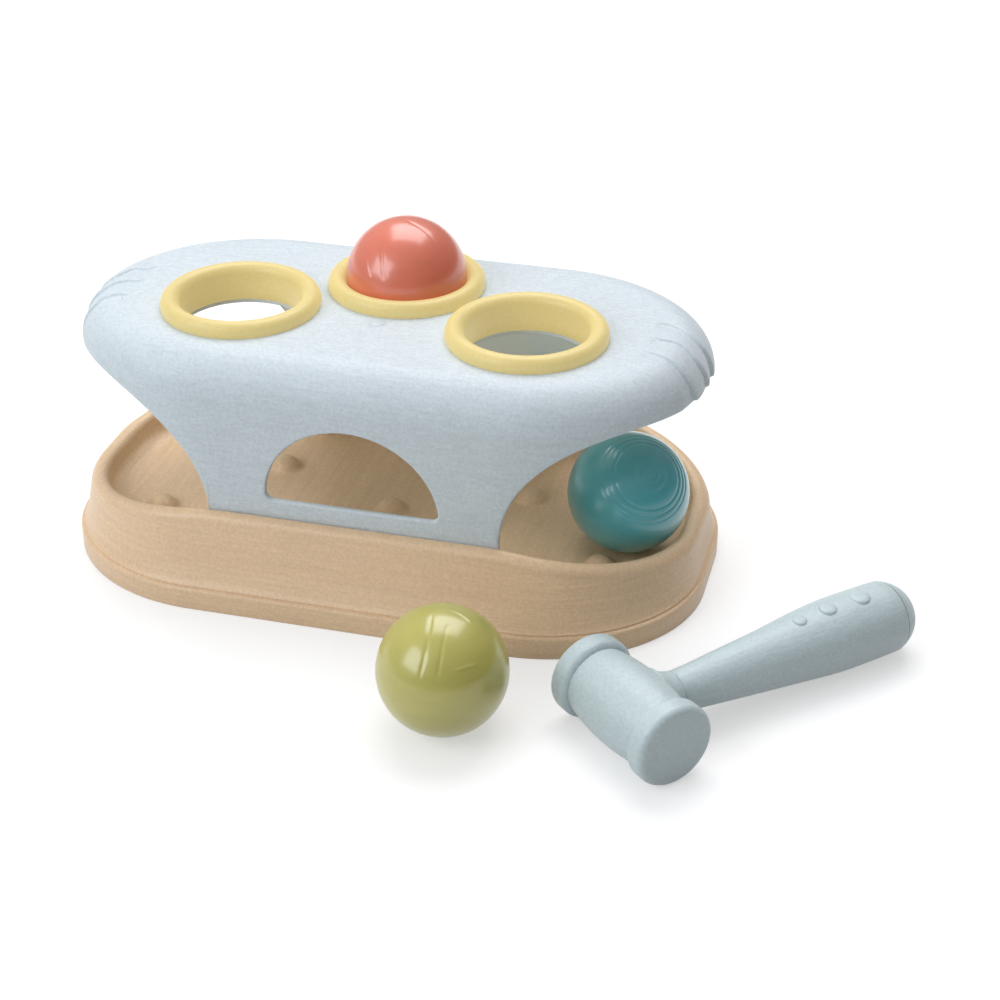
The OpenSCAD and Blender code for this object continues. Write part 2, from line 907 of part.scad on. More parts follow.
tray();
base_plate();
bench_body();
left_ring();
middle_ring();
right_ring();
body_screws();
base_screws();
red_ball_top();
red_ball_bottom();
teal_ball_top();
teal_ball_bottom();
green_ball_top();
green_ball_bottom();
hammer_head();
hammer_front_face();
hammer_back_face();
hammer_handle();
hammer_end_cap();
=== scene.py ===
"""Ball pounding bench with mallet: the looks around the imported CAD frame. Points are in millimetres."""

import math

import bmesh
import bpy
import numpy as np
from mathutils import Matrix, Vector
from mathutils.geometry import tessellate_polygon


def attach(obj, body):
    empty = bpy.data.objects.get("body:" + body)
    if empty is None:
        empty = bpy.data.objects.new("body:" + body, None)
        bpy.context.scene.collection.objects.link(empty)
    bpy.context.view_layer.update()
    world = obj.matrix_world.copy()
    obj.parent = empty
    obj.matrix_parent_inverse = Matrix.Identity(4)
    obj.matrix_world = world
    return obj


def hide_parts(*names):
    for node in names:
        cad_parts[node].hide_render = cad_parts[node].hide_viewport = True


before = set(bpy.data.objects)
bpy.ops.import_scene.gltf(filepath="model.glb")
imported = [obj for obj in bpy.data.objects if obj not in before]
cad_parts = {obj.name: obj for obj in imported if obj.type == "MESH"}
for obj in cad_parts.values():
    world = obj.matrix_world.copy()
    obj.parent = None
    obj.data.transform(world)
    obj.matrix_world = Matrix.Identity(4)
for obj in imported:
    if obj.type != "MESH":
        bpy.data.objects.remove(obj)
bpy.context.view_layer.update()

MM = 0.001
PI = math.pi

# The camera's own axes, fitted to the photo: to its right, up in its picture, and back towards it
AZ, EL = math.radians(14.68), math.radians(30.75)
RIGHT = Vector((math.cos(AZ), math.sin(AZ), 0))
BACK = Vector((math.sin(AZ) * math.cos(EL), -math.cos(AZ) * math.cos(EL), math.sin(EL)))
UP = BACK.cross(RIGHT)


# Numbers, curves and places
def spread(start, end, steps):
    """Evenly spread values from start to end."""
    return [start + (end - start) * i / steps for i in range(steps + 1)]


def clamp(value):
    return min(1.0, max(0.0, value))


def ease(share):
    """A share from 0 to 1 that starts and ends softly."""
    return share * share * (3 - 2 * share)


def window(value, start, full, last, end):
    """1 from full to last, 0 before start and after end, and sloping in between."""
    return clamp((value - start) / (full - start)) * clamp((end - value) / (end - last))


def circle(x, y, z, radius, segments):
    angles = [2 * PI * i / segments for i in range(segments)]
    return [(x + radius * math.cos(a), y + radius * math.sin(a), z) for a in angles]


def direction(degrees):
    return (math.cos(math.radians(degrees)), math.sin(math.radians(degrees)))


def arc(cx, cz, radius, start, end, steps):
    """Points of an arc in a profile, from one angle to another in degrees."""
    return [(cx + radius * x, cz + radius * z) for x, z in map(direction, spread(start, end, steps))]


def spline(points, steps):
    """Catmull-Rom curve through points of any dimension."""
    p = np.array(points, float)
    p = np.vstack([2 * p[0] - p[1], p, 2 * p[-1] - p[-2]])
    out = []
    for k in range(1, len(p) - 2):
        a, b, c, d = p[k - 1], p[k], p[k + 1], p[k + 2]
        for i in range(steps):
            t = i / steps
            out.append(0.5 * (2 * b + (c - a) * t + (2 * a - 5 * b + 4 * c - d) * t * t
                              + (3 * b - a - 3 * c + d) * t ** 3))
    out.append(p[-2])
    return out


def shift(x, y, z):
    return Matrix.Translation((x, y, z))


def turn(axis, degrees):
    return Matrix.Rotation(math.radians(degrees), 4, axis)


def new_object(name, data):
    obj = bpy.data.objects.new(name, data)
    bpy.context.scene.collection.objects.link(obj)
    return obj


# Meshes. Points closer than MERGE become one, and edges shorter than SHORT go, both in metres.
MERGE, SHORT = 2e-6, 1e-6


class Shape:
    """Collects points in millimetres and faces, and turns them into one object."""

    def __init__(self):
        self.points = []
        self.faces = []
        self.inside_faces = []

    def grid(self, rows, closed=False):
        """A surface through rows of points. A closed one joins the end of each row to its start."""
        base = len(self.points)
        n = len(rows[0])
        for row in rows:
            self.points.extend(tuple(p) for p in row)
        for r in range(len(rows) - 1):
            here, above = base + r * n, base + (r + 1) * n
            for c in range(n if closed else n - 1):
                d = (c + 1) % n
                self.faces.append((here + c, here + d, above + d, above + c))

    def cap(self, loop):
        base = len(self.points)
        self.points.extend(tuple(p) for p in loop)
        self.faces.append(tuple(range(base, base + len(loop))))

    def plate(self, loops):
        """A flat face with holes: the first loop is its outline."""
        base = len(self.points)
        vectors = [[Vector(p) for p in loop] for loop in loops]
        self.points.extend(tuple(p) for loop in vectors for p in loop)
        for triangle in tessellate_polygon(vectors):
            self.faces.append(tuple(base + i for i in triangle))

    def lathe(self, profile, place, segments=96):
        """Turns (radius, height) points about Z, then puts them in place by a matrix."""
        rows = []
        for radius, height in profile:
            rows.append([place @ Vector(p) for p in circle(0, 0, height, radius, segments)])
        self.grid(rows, closed=True)

    def build(self, name, material, body, node, sharp, inside=None):
        """Makes the object, which rides on its body and takes the place of a CAD node."""
        mesh = bpy.data.meshes.new(name)
        mesh.from_pydata([(x * MM, y * MM, z * MM) for x, y, z in self.points], [], self.faces)
        for k in self.inside_faces:
            mesh.polygons[k].material_index = 1
        bm = bmesh.new()
        bm.from_mesh(mesh)
        bmesh.ops.remove_doubles(bm, verts=bm.verts, dist=MERGE)
        bmesh.ops.dissolve_degenerate(bm, edges=bm.edges, dist=SHORT)
        bmesh.ops.recalc_face_normals(bm, faces=bm.faces)
        bm.to_mesh(mesh)
        bm.free()
        mesh.shade_smooth()
        mesh.set_sharp_from_angle(angle=math.radians(sharp))
        obj = new_object(name, mesh)
        mesh.materials.append(material)
        if inside is not None:
            mesh.materials.append(inside)
        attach(obj, body)
        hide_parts(node)


# Shader nodes
def srgb(r, g, b):
    """The linear colour of an sRGB colour with parts up to 255."""
    def linear(part):
        share = part / 255.0
        return share / 12.92 if share <= 0.04045 else ((share + 0.055) / 1.055) ** 2.4
    return (linear(r), linear(g), linear(b), 1.0)


def fill(tree, node, values):
    """Sets inputs of a node, each to a plain value or to the output of another node."""
    for key, value in values.items():
        if isinstance(value, bpy.types.NodeSocket):
            tree.links.new(value, node.inputs[key])
        else:
            node.inputs[key].default_value = value


def add_node(tree, kind, values, operation=None):
    node = tree.nodes.new("ShaderNode" + kind)
    if operation is not None:
        node.operation = operation
    fill(tree, node, values)
    return node


# Fibre noise, and the upward share of a normal where a face stops being a wall and where it is level
FIBRE_DETAIL, FIBRE_ROUGHNESS = 5.0, 0.62
WALL_UP_TO, LEVEL_FROM = 0.5, 0.85
# Wide soft clouds that the fibres are mixed with, and the stops of the colour ramp over both
CLOUD_SCALE, CLOUD_DETAIL, CLOUD_SHARE = 18.0, 2.0, 0.25
DARK_STOP, LIGHT_STOP = 0.32, 0.68
# Fine specks in the colour, the spread of the roughness, and the height of the relief in metres
SPECK_SCALE, SPECK_DETAIL, SPECK_FROM, SPECK_TO = 900.0, 1.0, 0.3, 0.7
GLOSS_SPREAD = 0.15
RELIEF_HEIGHT = 0.0004
BLEED_COLOUR = (1.0, 0.9, 0.7)


def fibre(tree, place, grain, stretch, heading):
    """Noise in fibres: grain is its frequency per metre, and stretch its scale along each axis."""
    turned = add_node(tree, "VectorRotate", {"Vector": place, "Angle": -math.radians(heading)})
    turned.rotation_type = "Z_AXIS"
    mapping = add_node(tree, "Mapping", {"Vector": turned.outputs["Vector"], "Scale": stretch})
    noise = add_node(tree, "TexNoise", {"Vector": mapping.outputs["Vector"], "Scale": grain,
                                        "Detail": FIBRE_DETAIL, "Roughness": FIBRE_ROUGHNESS})
    return noise.outputs["Fac"]


def wall_or_level(tree, normal, wall, level):
    """The first value on walls, and the second on level faces."""
    split = add_node(tree, "SeparateXYZ", {"Vector": normal})
    upward = add_node(tree, "Math", {0: split.outputs["Z"]}, "ABSOLUTE")
    share = add_node(tree, "MapRange", {"Value": upward.outputs[0], "From Min": WALL_UP_TO,
                                        "From Max": LEVEL_FROM})
    mix = add_node(tree, "Mix", {"Factor": share.outputs["Result"], "A": wall, "B": level})
    return mix.outputs["Result"]


def shades(tree, value, colour, tint):
    """Colours from a little darker to a little lighter than the given one."""
    ramp = add_node(tree, "ValToRGB", {"Fac": value})
    dark = tuple(c * (1 - tint) for c in colour[:3]) + (1.0,)
    light = tuple(min(1.0, c * (1 + tint)) for c in colour[:3]) + (1.0,)
    for k, (stop, shade) in enumerate(((DARK_STOP, dark), (LIGHT_STOP, light))):
        ramp.color_ramp.elements[k].position = stop
        ramp.color_ramp.elements[k].color = shade
    return ramp.outputs["Color"]


def specks(tree, place, colour, speck):
    """Fine specks that are darker or lighter than the colour by up to a share."""
    dust = add_node(tree, "TexNoise", {"Vector": place, "Scale": SPECK_SCALE, "Detail": SPECK_DETAIL})
    factor = add_node(tree, "MapRange", {"Value": dust.outputs["Fac"], "From Min": SPECK_FROM,
                                         "From Max": SPECK_TO, "To Min": 1 - speck, "To Max": 1 + speck})
    strewn = add_node(tree, "VectorMath", {0: colour, "Scale": factor.outputs["Result"]}, "SCALE")
    return strewn.outputs["Vector"]


def plastic(name, colour, rough, grain, stretch, bump, tint, upright=None, heading=0.0, speck=0.0,
            metal=0.0, coat=0.0, coat_ior=1.5, coat_rough=0.1, bleed=(0.0, 0.001), glow=None):
    """Moulded plastic: fine stretched fibre grain in colour, roughness and bump.
    grain is the fibre frequency per metre, stretch the fibre direction as a scale per axis;
    upright is a second stretch for walls, where the first one is for level faces; heading turns
    both about Z by degrees; tint and speck are how far the fibres and fine specks change the colour;
    bleed is how much light spreads below the surface, and how far; glow is painted light, an
    emission that stands in for the light that a thin wall lets through."""
    mat = bpy.data.materials.new(name)
    mat.use_nodes = True
    tree = mat.node_tree
    coord = tree.nodes.new("ShaderNodeTexCoord")
    place = coord.outputs["Object"]
    fibres = fibre(tree, place, grain, stretch, heading)
    if upright is not None:
        walls = fibre(tree, place, grain, upright, heading)
        fibres = wall_or_level(tree, coord.outputs["Normal"], walls, fibres)
    cloud = add_node(tree, "TexNoise", {"Vector": place, "Scale": CLOUD_SCALE, "Detail": CLOUD_DETAIL})
    mix = add_node(tree, "Mix", {"Factor": CLOUD_SHARE, "A": fibres, "B": cloud.outputs["Fac"]})
    blend = mix.outputs["Result"]
    gloss = add_node(tree, "MapRange", {"Value": blend, "To Min": rough * (1 - GLOSS_SPREAD),
                                        "To Max": min(1.0, rough * (1 + GLOSS_SPREAD))})
    relief = add_node(tree, "Bump", {"Height": fibres, "Strength": bump, "Distance": RELIEF_HEIGHT})
    bsdf = tree.nodes["Principled BSDF"]
    bsdf.inputs["Roughness"].default_value = rough
    fill(tree, bsdf, {
        "Base Color": specks(tree, place, shades(tree, blend, colour, tint), speck),
        "Roughness": gloss.outputs["Result"], "Normal": relief.outputs["Normal"], "Metallic": metal,
        "Coat Weight": coat, "Coat Roughness": coat_rough, "Coat IOR": coat_ior,
        "Subsurface Weight": bleed[0], "Subsurface Scale": bleed[1], "Subsurface Radius": BLEED_COLOUR,
    })
    # Painted light: with a glow colour the surface gives off light, though it is no lamp
    if glow is not None:
        fill(tree, bsdf, {"Emission Color": glow + (1.0,), "Emission Strength": 1.0})
    return mat


# Materials
TAN = plastic("tan_fibre_plastic", srgb(229, 197, 160), rough=0.36, grain=60.0, stretch=(10, 0.5, 10),
              bump=0.45, tint=0.065, upright=(0.5, 0.5, 16), speck=0.06)
BLUE = plastic("pale_blue_fibre_plastic", srgb(204, 214, 220), rough=0.48, grain=130.0, stretch=(1, 5, 5),
               bump=0.4, tint=0.06, upright=(1, 1, 7), speck=0.06, bleed=(0.2, 0.0035))
# Lit copy of the pale blue for the bench's inner faces: its lighter, greener colour and its glow are
# painted light that brightens the inside
BLUE_INSIDE_PAINTED_LIGHT = plastic("pale_blue_fibre_inside_painted_light", srgb(234, 240, 234), rough=0.6, grain=130.0,
                      stretch=(1, 5, 5), bump=0.2, tint=0.02, bleed=(0.3, 0.0045),
                      glow=(0.045, 0.065, 0.07))
# The rings' yellow plastic; its glow is painted light that brightens their bores and lips
YELLOW_WITH_PAINTED_GLOW = plastic("yellow_soft_plastic_painted_glow", srgb(184, 166, 106), rough=0.4, grain=90.0, stretch=(1, 1, 1),
                 bump=0.2, tint=0.03, speck=0.04, bleed=(0.5, 0.003), glow=(0.32, 0.27, 0.125))
RED = plastic("red_gloss_plastic", srgb(221, 113, 86), rough=0.36, grain=60.0, stretch=(1, 1, 5),
              bump=0.03, tint=0.05, coat=0.7, coat_ior=1.8, coat_rough=0.2)
TEAL = plastic("teal_gloss_plastic", srgb(72, 164, 173), rough=0.3, grain=60.0, stretch=(1, 1, 5),
               bump=0.03, tint=0.06, coat=0.8, coat_ior=1.6, coat_rough=0.22)
GREEN = plastic("green_gloss_plastic", srgb(180, 173, 86), rough=0.3, grain=60.0, stretch=(1, 1, 5),
                bump=0.03, tint=0.05, coat=0.5, coat_ior=1.8, coat_rough=0.2)
MALLET = plastic("pale_blue_mallet_plastic", srgb(190, 205, 208), rough=0.4, grain=150.0,
                 stretch=(1.2, 5, 5), bump=0.45, tint=0.035, heading=46.0, speck=0.05)
STEEL = plastic("screw_steel", srgb(170, 170, 172), rough=0.35, grain=200.0, stretch=(1, 1, 6),
                bump=0.05, tint=0.08, metal=1.0)


# Bench body, seen from above: half its length and width, and the reach of its rounded ends
HALF_LEN, HALF_W, END_RX = 119.7, 59.9, 66.5
STRAIGHT = HALF_LEN - END_RX
# Height of the flat top, radius of the edge round it, the widest line, and the way over the edge
TOP, EDGE_R = 98.4, 15.6
EQ = TOP - EDGE_R
TOP_H = EDGE_R * PI / 2
# Height and half width of the long walls' lower end, and the thickness of all walls
SEAT_H, SEAT_W = 31.55, 55.7
WALL = 2.5
# Half the length of a long wall's foot, and its flank: how far it reaches out, and where it starts
FOOT_X, FLANK, FLANK_Z = 55.0, 52.0, 35.8
FLANK_X = FOOT_X + FLANK
# The arch in the front wall: radius, middle of its lower edge, and the rounding of its corners
ARCH_R, ARCH_X, ARCH_Z, ARCH_F = 32.6, 0.5, 43.1, 3.0
# Radius of the lip on all edges, and the height over the widest line where walls and edge are joined
LIP = 0.75
JOIN = 2.0
# The holes: their places and radius, and the collar below, with the lip that the ring sits on
RINGS = [(-54.2, -13.1), (0.0, 18.4), (54.2, -13.1)]
HOLE_R = 25.0
COLLAR_R, COLLAR_LOW, COLLAR_LIP_R, COLLAR_LIP_Z = 27.0, 88.3, 23.1, 89.8
# The flat border of the top, which grows towards the ends
BORDER, BORDER_GROWTH = 1.0, 8.6
# The screw posts, which stand on the towers of the tray, with their thread holes and ribs
POST_AT = [(sx * 44.0, sy * 46.5) for sx in (-1, 1) for sy in (-1, 1)]
POST_R, POST_TOP, POST_LOW = 4.2, 57.2, 24.4
THREAD_R, THREAD_TOP = 1.6, 44.0
RIB_HALF, RIB_REACH = 1.0, 9.0
# A small gate mark on the top: its place, and its profile as (radius, rise)
GATE_AT = shift(-1, -15.7, 0)
GATE_MARK = [(0, 0.55), (1.2, 0.5), (2.4, 0.25), (3.2, 0.02)]

# Steps of the bench's grids. INNER_X bounds the middle block of a wall, and the arch's rows fan out
# from FAN_Z. Rows are given as (over the edge, over the border), finer where the waves are.
INNER_X = FOOT_X - 5.0
FAN_Z = 57.0
FLAT_STEPS, WALL_ROWS, ARCH_ROWS, HEM_STEPS, LIP_STEPS, SKIRT_ROWS = 50, 26, 14, 44, 4, 3
ARCH_LOW_STEPS, ARCH_CORNER_STEPS, ARCH_TOP_STEPS = 12, 8, 48
FINE_ROWS, COARSE_ROWS = (62, 22), (16, 3)
END_STEPS, BESIDE_STEPS, WAVE_STEPS = 36, 8, 150
FLANK_SPREAD = 0.9


def station(x, side):
    """Where a column of the shell stands: on a long side, or at an angle of a rounded end."""
    if abs(x) <= STRAIGHT:
        return ("side", x, side)
    share = min(1.0, (abs(x) - STRAIGHT) / END_RX)
    return ("end", side * math.acos(share), 1 if x > 0 else -1)


def shell(where, h, depth, extra=0.0):
    """A point of the shell: h is the way up from the widest line, depth the way into the wall,
    and extra a way further in over the flat top."""
    if h <= 0:
        z = EQ + h
        w = SEAT_W + (HALF_W - SEAT_W) * max(0.0, (z - SEAT_H) / (EQ - SEAT_H))
        inset = depth
    else:
        phi = min(h / EDGE_R, PI / 2)
        z = EQ + (EDGE_R - depth) * math.sin(phi)
        w = HALF_W
        inset = depth + (EDGE_R - depth) * (1 - math.cos(phi)) + extra
    kind, a, sign = where
    if kind == "side":
        return (a, sign * (w - inset), z)
    return (sign * (STRAIGHT + (END_RX - inset) * math.cos(a)), (w - inset) * math.sin(a), z)


def arch_edge():
    """Where the arch's lip begins, as (x, z, nx, nz) from the bottom middle to the right, over the
    top and back. nx and nz point into the opening."""
    f, r = ARCH_F, ARCH_R
    cx = math.sqrt((r - f) ** 2 - f * f)
    corner = math.degrees(math.atan2(f, cx))
    right = [(x, 0.0, 0.0, -1.0) for x in spread(0.0, cx, ARCH_LOW_STEPS)[:-1]]
    for nx, nz in map(direction, spread(-90, corner, ARCH_CORNER_STEPS)):
        right.append((cx + f * nx, f + f * nz, nx, nz))
    over = [(r * nx, r * nz, nx, nz)
            for nx, nz in map(direction, spread(corner, 180 - corner, ARCH_TOP_STEPS)[1:-1])]
    left = [(-x, z, -nx, nz) for x, z, nx, nz in reversed(right[1:])]
    return [(x + LIP * nx + ARCH_X, z + LIP * nz + ARCH_Z, -nx, -nz)
            for x, z, nx, nz in right + over + left]


def hem_path():
    """Right hem of a long wall: (x, h, nx, nh) from the bottom line to the rounded end."""
    low, start = SEAT_H - EQ, FLANK_Z - EQ
    out = [(INNER_X, low, 0.0, -1.0), (FOOT_X, low, 0.0, -1.0), (FOOT_X, low, 1.0, 0.0),
           (FOOT_X, start, 1.0, 0.0)]
    for t in spread(0.0, PI / 2, HEM_STEPS)[1:]:
        nx, nh = -math.cos(t) * start, -math.sin(t) * FLANK
        size = math.hypot(nx, nh)
        out.append((FLANK_X - FLANK * math.cos(t), start - start * math.sin(t), nx / size, nh / size))
    return out


ARCH = arch_edge()
HEM = hem_path()
HEM_LIP = [(x - LIP * nx, h - LIP * nh) for x, h, nx, nh in HEM]
WALL_LOW = HEM_LIP[0][1]
WALL_H = spread(WALL_LOW, JOIN, WALL_ROWS)
FLAT_X = spread(-INNER_X, INNER_X, FLAT_STEPS)
FLANK_TOP_X = [INNER_X + (FLANK_X - INNER_X) * (k / (len(HEM) - 1)) ** FLANK_SPREAD
               for k in range(len(HEM))]


def ray_hit(loop, cx, cz, angle, parallel=1e-12, slack=1e-9):
    """Where a ray from a centre leaves a closed loop of (x, z)."""
    dx, dz = math.cos(angle), math.sin(angle)
    best = 0.0
    for (ax, az), (bx, bz) in zip(loop, loop[1:] + loop[:1]):
        x0, z0, x1, z1 = ax - cx, az - cz, bx - cx, bz - cz
        cross = dx * (z1 - z0) - dz * (x1 - x0)
        if abs(cross) < parallel:
            continue
        t = (x0 * (z1 - z0) - z0 * (x1 - x0)) / cross
        u = (x0 * dz - z0 * dx) / cross
        if t > best and -slack <= u <= 1 + slack:
            best = t
    return (cx + best * dx, cz + best * dz)


# Stepped waves on the ends. Each line is a step, given as (way from the start, place across).
WAVES = {
    1: [[(0, 11), (6, 9.8), (12, 6.8), (17.5, 5.1), (23, 4.1), (32, 3.2)],
        [(0, -0.1), (2.7, -2.1), (8.2, -2.7), (14.3, -4.5), (20.3, -6.5), (28.8, -5.2), (32, -4.6)],
        [(0, -12.5), (3.8, -14.2), (9.2, -15.6), (13.8, -16.7), (19.6, -17.6), (29.3, -16.5), (32, -16)]],
    -1: [[(0, 12.9), (3.4, 8.3), (9.7, 7.3), (12.5, 3.3), (18, 1.5), (25, 0.5), (32, 0)],
         [(0, 2.0), (2.3, -2.8), (6.9, -4), (10.5, -5.7), (14.8, -8.5), (20, -9.5), (32, -10)],
         [(0, -11.2), (1.3, -14.9), (5.1, -16.1), (9.2, -17), (13.8, -18.6), (18, -20.5), (32, -23)]],
}
WAVE_START, WAVE_DEPTH = 96.7, 1.5
# Half the width of a step, and the way and the curve by which the surface climbs back from it
WAVE_STEP, WAVE_REACH, WAVE_CURVE = 0.35, 10.5, 1.3
# The way before the start where the waves fade in, how long that takes, and how they grow further on
WAVE_BEFORE, WAVE_FADE = 1.0, 3.5
WAVE_FIRST, WAVE_FULL_AT = 0.4, 30.0
# Half the width of the wave field, and the angle up to which an end's columns stand close together
WAVE_HALF_W = 25.0
WAVE_ANGLE = math.asin(WAVE_HALF_W / HALF_W)


def wave_curve(line):
    """A wave line as a smooth curve, in the order of the way from the start."""
    curve = np.array(spline(line, 8))
    return curve[np.argsort(curve[:, 0])]


WAVE_CURVES = {sign: [wave_curve(line) for line in lines] for sign, lines in WAVES.items()}


def wave_depth(sign, s, y):
    """Depth of the stepped waves at a way s from their start and a place y across:
    each line is a step down on its front side, and the surface climbs back from there."""
    if s <= -WAVE_BEFORE:
        return 0.0
    depth = 0.0
    for curve in WAVE_CURVES[sign]:
        t = float(np.interp(s, curve[:, 0], curve[:, 1])) - y
        if t <= -WAVE_STEP:
            continue
        if t < WAVE_STEP:
            step = ease((t + WAVE_STEP) / (2 * WAVE_STEP))
        else:
            step = max(0.0, 1 - (t - WAVE_STEP) / WAVE_REACH) ** WAVE_CURVE
        depth = max(depth, step)
    fade = ease(min(1.0, (s + WAVE_BEFORE) / WAVE_FADE))
    grow = WAVE_FIRST + (1 - WAVE_FIRST) * clamp(s / WAVE_FULL_AT)
    return WAVE_DEPTH * grow * fade * depth


def edge_wave(where, h):
    """Depth of the waves at a column and a way up the rounded edge."""
    kind, a, sign = where
    if kind == "side" or abs(a) >= WAVE_ANGLE:
        return 0.0
    junction = STRAIGHT + (END_RX - EDGE_R) * math.cos(a)
    y = shell(where, h, 0)[1]
    return wave_depth(sign, junction - WAVE_START + (TOP_H - h), y)


def edge_point(where, h, depth):
    """A point of the rounded edge. Its outer face, at no depth, has the waves."""
    return shell(where, h, edge_wave(where, h) if depth == 0 else depth)


def border(where):
    """Width of the flat border of the top at a column."""
    kind, a = where[:2]
    return BORDER + (BORDER_GROWTH * math.cos(a) ** 2 if kind == "end" else 0.0)


def front_middle(shape, depth):
    """The middle block of the front wall, as rows that fan out from the arch."""
    half = FLAT_STEPS // 2
    box = [(x, WALL_LOW) for x in FLAT_X[half:]]
    box += [(INNER_X, h) for h in WALL_H[1:-1]]
    box += [(x, JOIN) for x in reversed(FLAT_X)]
    box += [(-INNER_X, h) for h in reversed(WALL_H[1:-1])]
    box += [(x, WALL_LOW) for x in FLAT_X[:half]]
    arch = [(x, z - EQ) for x, z, *_ in ARCH]
    fan_h = FAN_Z - EQ
    opening = [ray_hit(arch, 0.0, fan_h, math.atan2(h - fan_h, x)) for x, h in box]
    rows = []
    for j in range(ARCH_ROWS + 1):
        row = []
        for (x0, h0), (x1, h1) in zip(opening, box):
            x = x0 + (x1 - x0) * j / ARCH_ROWS
            h = h0 + (h1 - h0) * j / ARCH_ROWS
            row.append(shell(station(x, -1), h, depth))
        rows.append(row)
    shape.grid(rows, closed=True)


def back_middle(shape, depth):
    shape.grid([[shell(station(x, 1), h, depth) for x in FLAT_X] for h in WALL_H])


def flank(shape, depth, side, mirror):
    """A long wall beside its middle block, from the hem up to the join. mirror is -1 on the left."""
    rows = []
    for j in range(WALL_ROWS + 1):
        v = j / WALL_ROWS
        rows.append([shell(station(mirror * (x + (top_x - x) * v), side), h + (JOIN - h) * v, depth)
                     for (x, h), top_x in zip(HEM_LIP, FLANK_TOP_X)])
    shape.grid(rows)


def end_angles(fine):
    """Angles of the columns of a rounded end."""
    last = math.acos((FLANK_X - STRAIGHT) / END_RX)
    if not fine:
        return spread(-last, last, END_STEPS)
    return (spread(-last, -WAVE_ANGLE, BESIDE_STEPS)[:-1] + spread(-WAVE_ANGLE, WAVE_ANGLE, WAVE_STEPS)
            + spread(WAVE_ANGLE, last, BESIDE_STEPS)[1:])


def all_columns(angles):
    """The columns all round: along the front, round the right end, back, and round the left end."""
    right = set(round(x, 6) for x in FLAT_X + FLANK_TOP_X)
    xs = sorted(right | set(-x for x in right if x > INNER_X))
    columns = [station(x, -1) for x in xs]
    columns += [("end", t, 1) for t in angles[1:-1]]
    columns += [station(x, 1) for x in reversed(xs)]
    columns += [("end", t, -1) for t in reversed(angles[1:-1])]
    return columns


def edge_and_border(shape, depth, columns):
    """The rounded edge from the join up, and the flat border of the top."""
    edge_rows, border_rows = FINE_ROWS if depth == 0 else COARSE_ROWS
    rows = [[edge_point(where, h, depth) for where in columns] for h in spread(JOIN, TOP_H, edge_rows)]
    for j in range(1, border_rows + 1):
        row = []
        for where in columns:
            x, y, z = shell(where, TOP_H, depth, border(where) * j / border_rows)
            if depth == 0 and where[0] == "end":
                z -= wave_depth(where[2], abs(x) - WAVE_START, y)
            row.append((x, y, z))
        rows.append(row)
    shape.grid(rows, closed=True)


def end_skirts(shape, depth, angles):
    """The ends below the join, down to the rounded lip."""
    for sign in (1, -1):
        shape.grid([[edge_point(("end", t, sign), h, depth) for t in angles]
                    for h in spread(LIP, JOIN, SKIRT_ROWS)])


def flat_top(shape, depth, columns):
    """The flat top inside its border, with the three holes."""
    outline = [shell(where, TOP_H, depth, border(where)) for where in columns]
    hole = HOLE_R if depth == 0 else COLLAR_R
    shape.plate([outline] + [circle(cx, cy, TOP - depth, hole, 96) for cx, cy in RINGS])


def body_shell(shape, depth, angles):
    """One face of the bench's wall, outer or inner."""
    for side, middle in ((-1, front_middle), (1, back_middle)):
        middle(shape, depth)
        for mirror in (-1, 1):
            flank(shape, depth, side, mirror)
    columns = all_columns(angles)
    edge_and_border(shape, depth, columns)
    end_skirts(shape, depth, angles)
    flat_top(shape, depth, columns)


# Lips. Their points are functions that give the shell's point for a step outwards and a depth.
def lip(shape, points):
    """Rounded edge from the outer face over the wall's thickness to the inner face."""
    quarter = [(LIP * math.sin(a), LIP * (1 - math.cos(a))) for a in spread(0.0, PI / 2, LIP_STEPS)]
    rows = quarter + [(out, WALL - depth) for out, depth in reversed(quarter)]
    shape.grid([[point(out, depth) for point in points] for out, depth in rows], closed=True)


def wall_point(x, h, nx, nh, side, mirror=1):
    px, ph = x - LIP * nx, h - LIP * nh
    return lambda out, depth: shell(station(mirror * (px + out * nx), side), ph + out * nh, depth)


def end_point(t, sign):
    """On an end the lip follows the waves, which fade out at half the wall's thickness."""
    where = ("end", t, sign)

    def point(out, depth):
        fade = max(0.0, 1 - depth / (WALL / 2))
        return shell(where, LIP - out, depth + edge_wave(where, LIP) * fade)
    return point


def arch_point(x, z, nx, nz):
    return lambda out, depth: shell(station(x + out * nx, -1), z - EQ + out * nz, depth)


def hem_lip(shape, angles):
    """The lip all round the bench's lower edge."""
    low = SEAT_H - EQ
    points = [wall_point(*place, -1) for place in HEM]
    points += [end_point(t, 1) for t in angles[1:-1]]
    points += [wall_point(*place, 1) for place in reversed(HEM)]
    points += [wall_point(x, low, 0, -1, 1) for x in reversed(FLAT_X[1:-1])]
    points += [wall_point(*place, 1, mirror=-1) for place in HEM]
    points += [end_point(t, -1) for t in reversed(angles[1:-1])]
    points += [wall_point(*place, -1, mirror=-1) for place in reversed(HEM)]
    points += [wall_point(x, low, 0, -1, -1) for x in FLAT_X[1:-1]]
    lip(shape, points)


def collars(shape):
    """The collars below the holes, which hold the rings."""
    bevel, small_bevel = 0.4, 0.3
    for cx, cy in RINGS:
        shape.lathe([(HOLE_R, TOP), (HOLE_R, COLLAR_LIP_Z), (COLLAR_LIP_R, COLLAR_LIP_Z),
                     (COLLAR_LIP_R, COLLAR_LOW + small_bevel), (COLLAR_LIP_R + small_bevel, COLLAR_LOW),
                     (COLLAR_R - bevel, COLLAR_LOW), (COLLAR_R, COLLAR_LOW + bevel),
                     (COLLAR_R, TOP - WALL)], shift(cx, cy, 0))


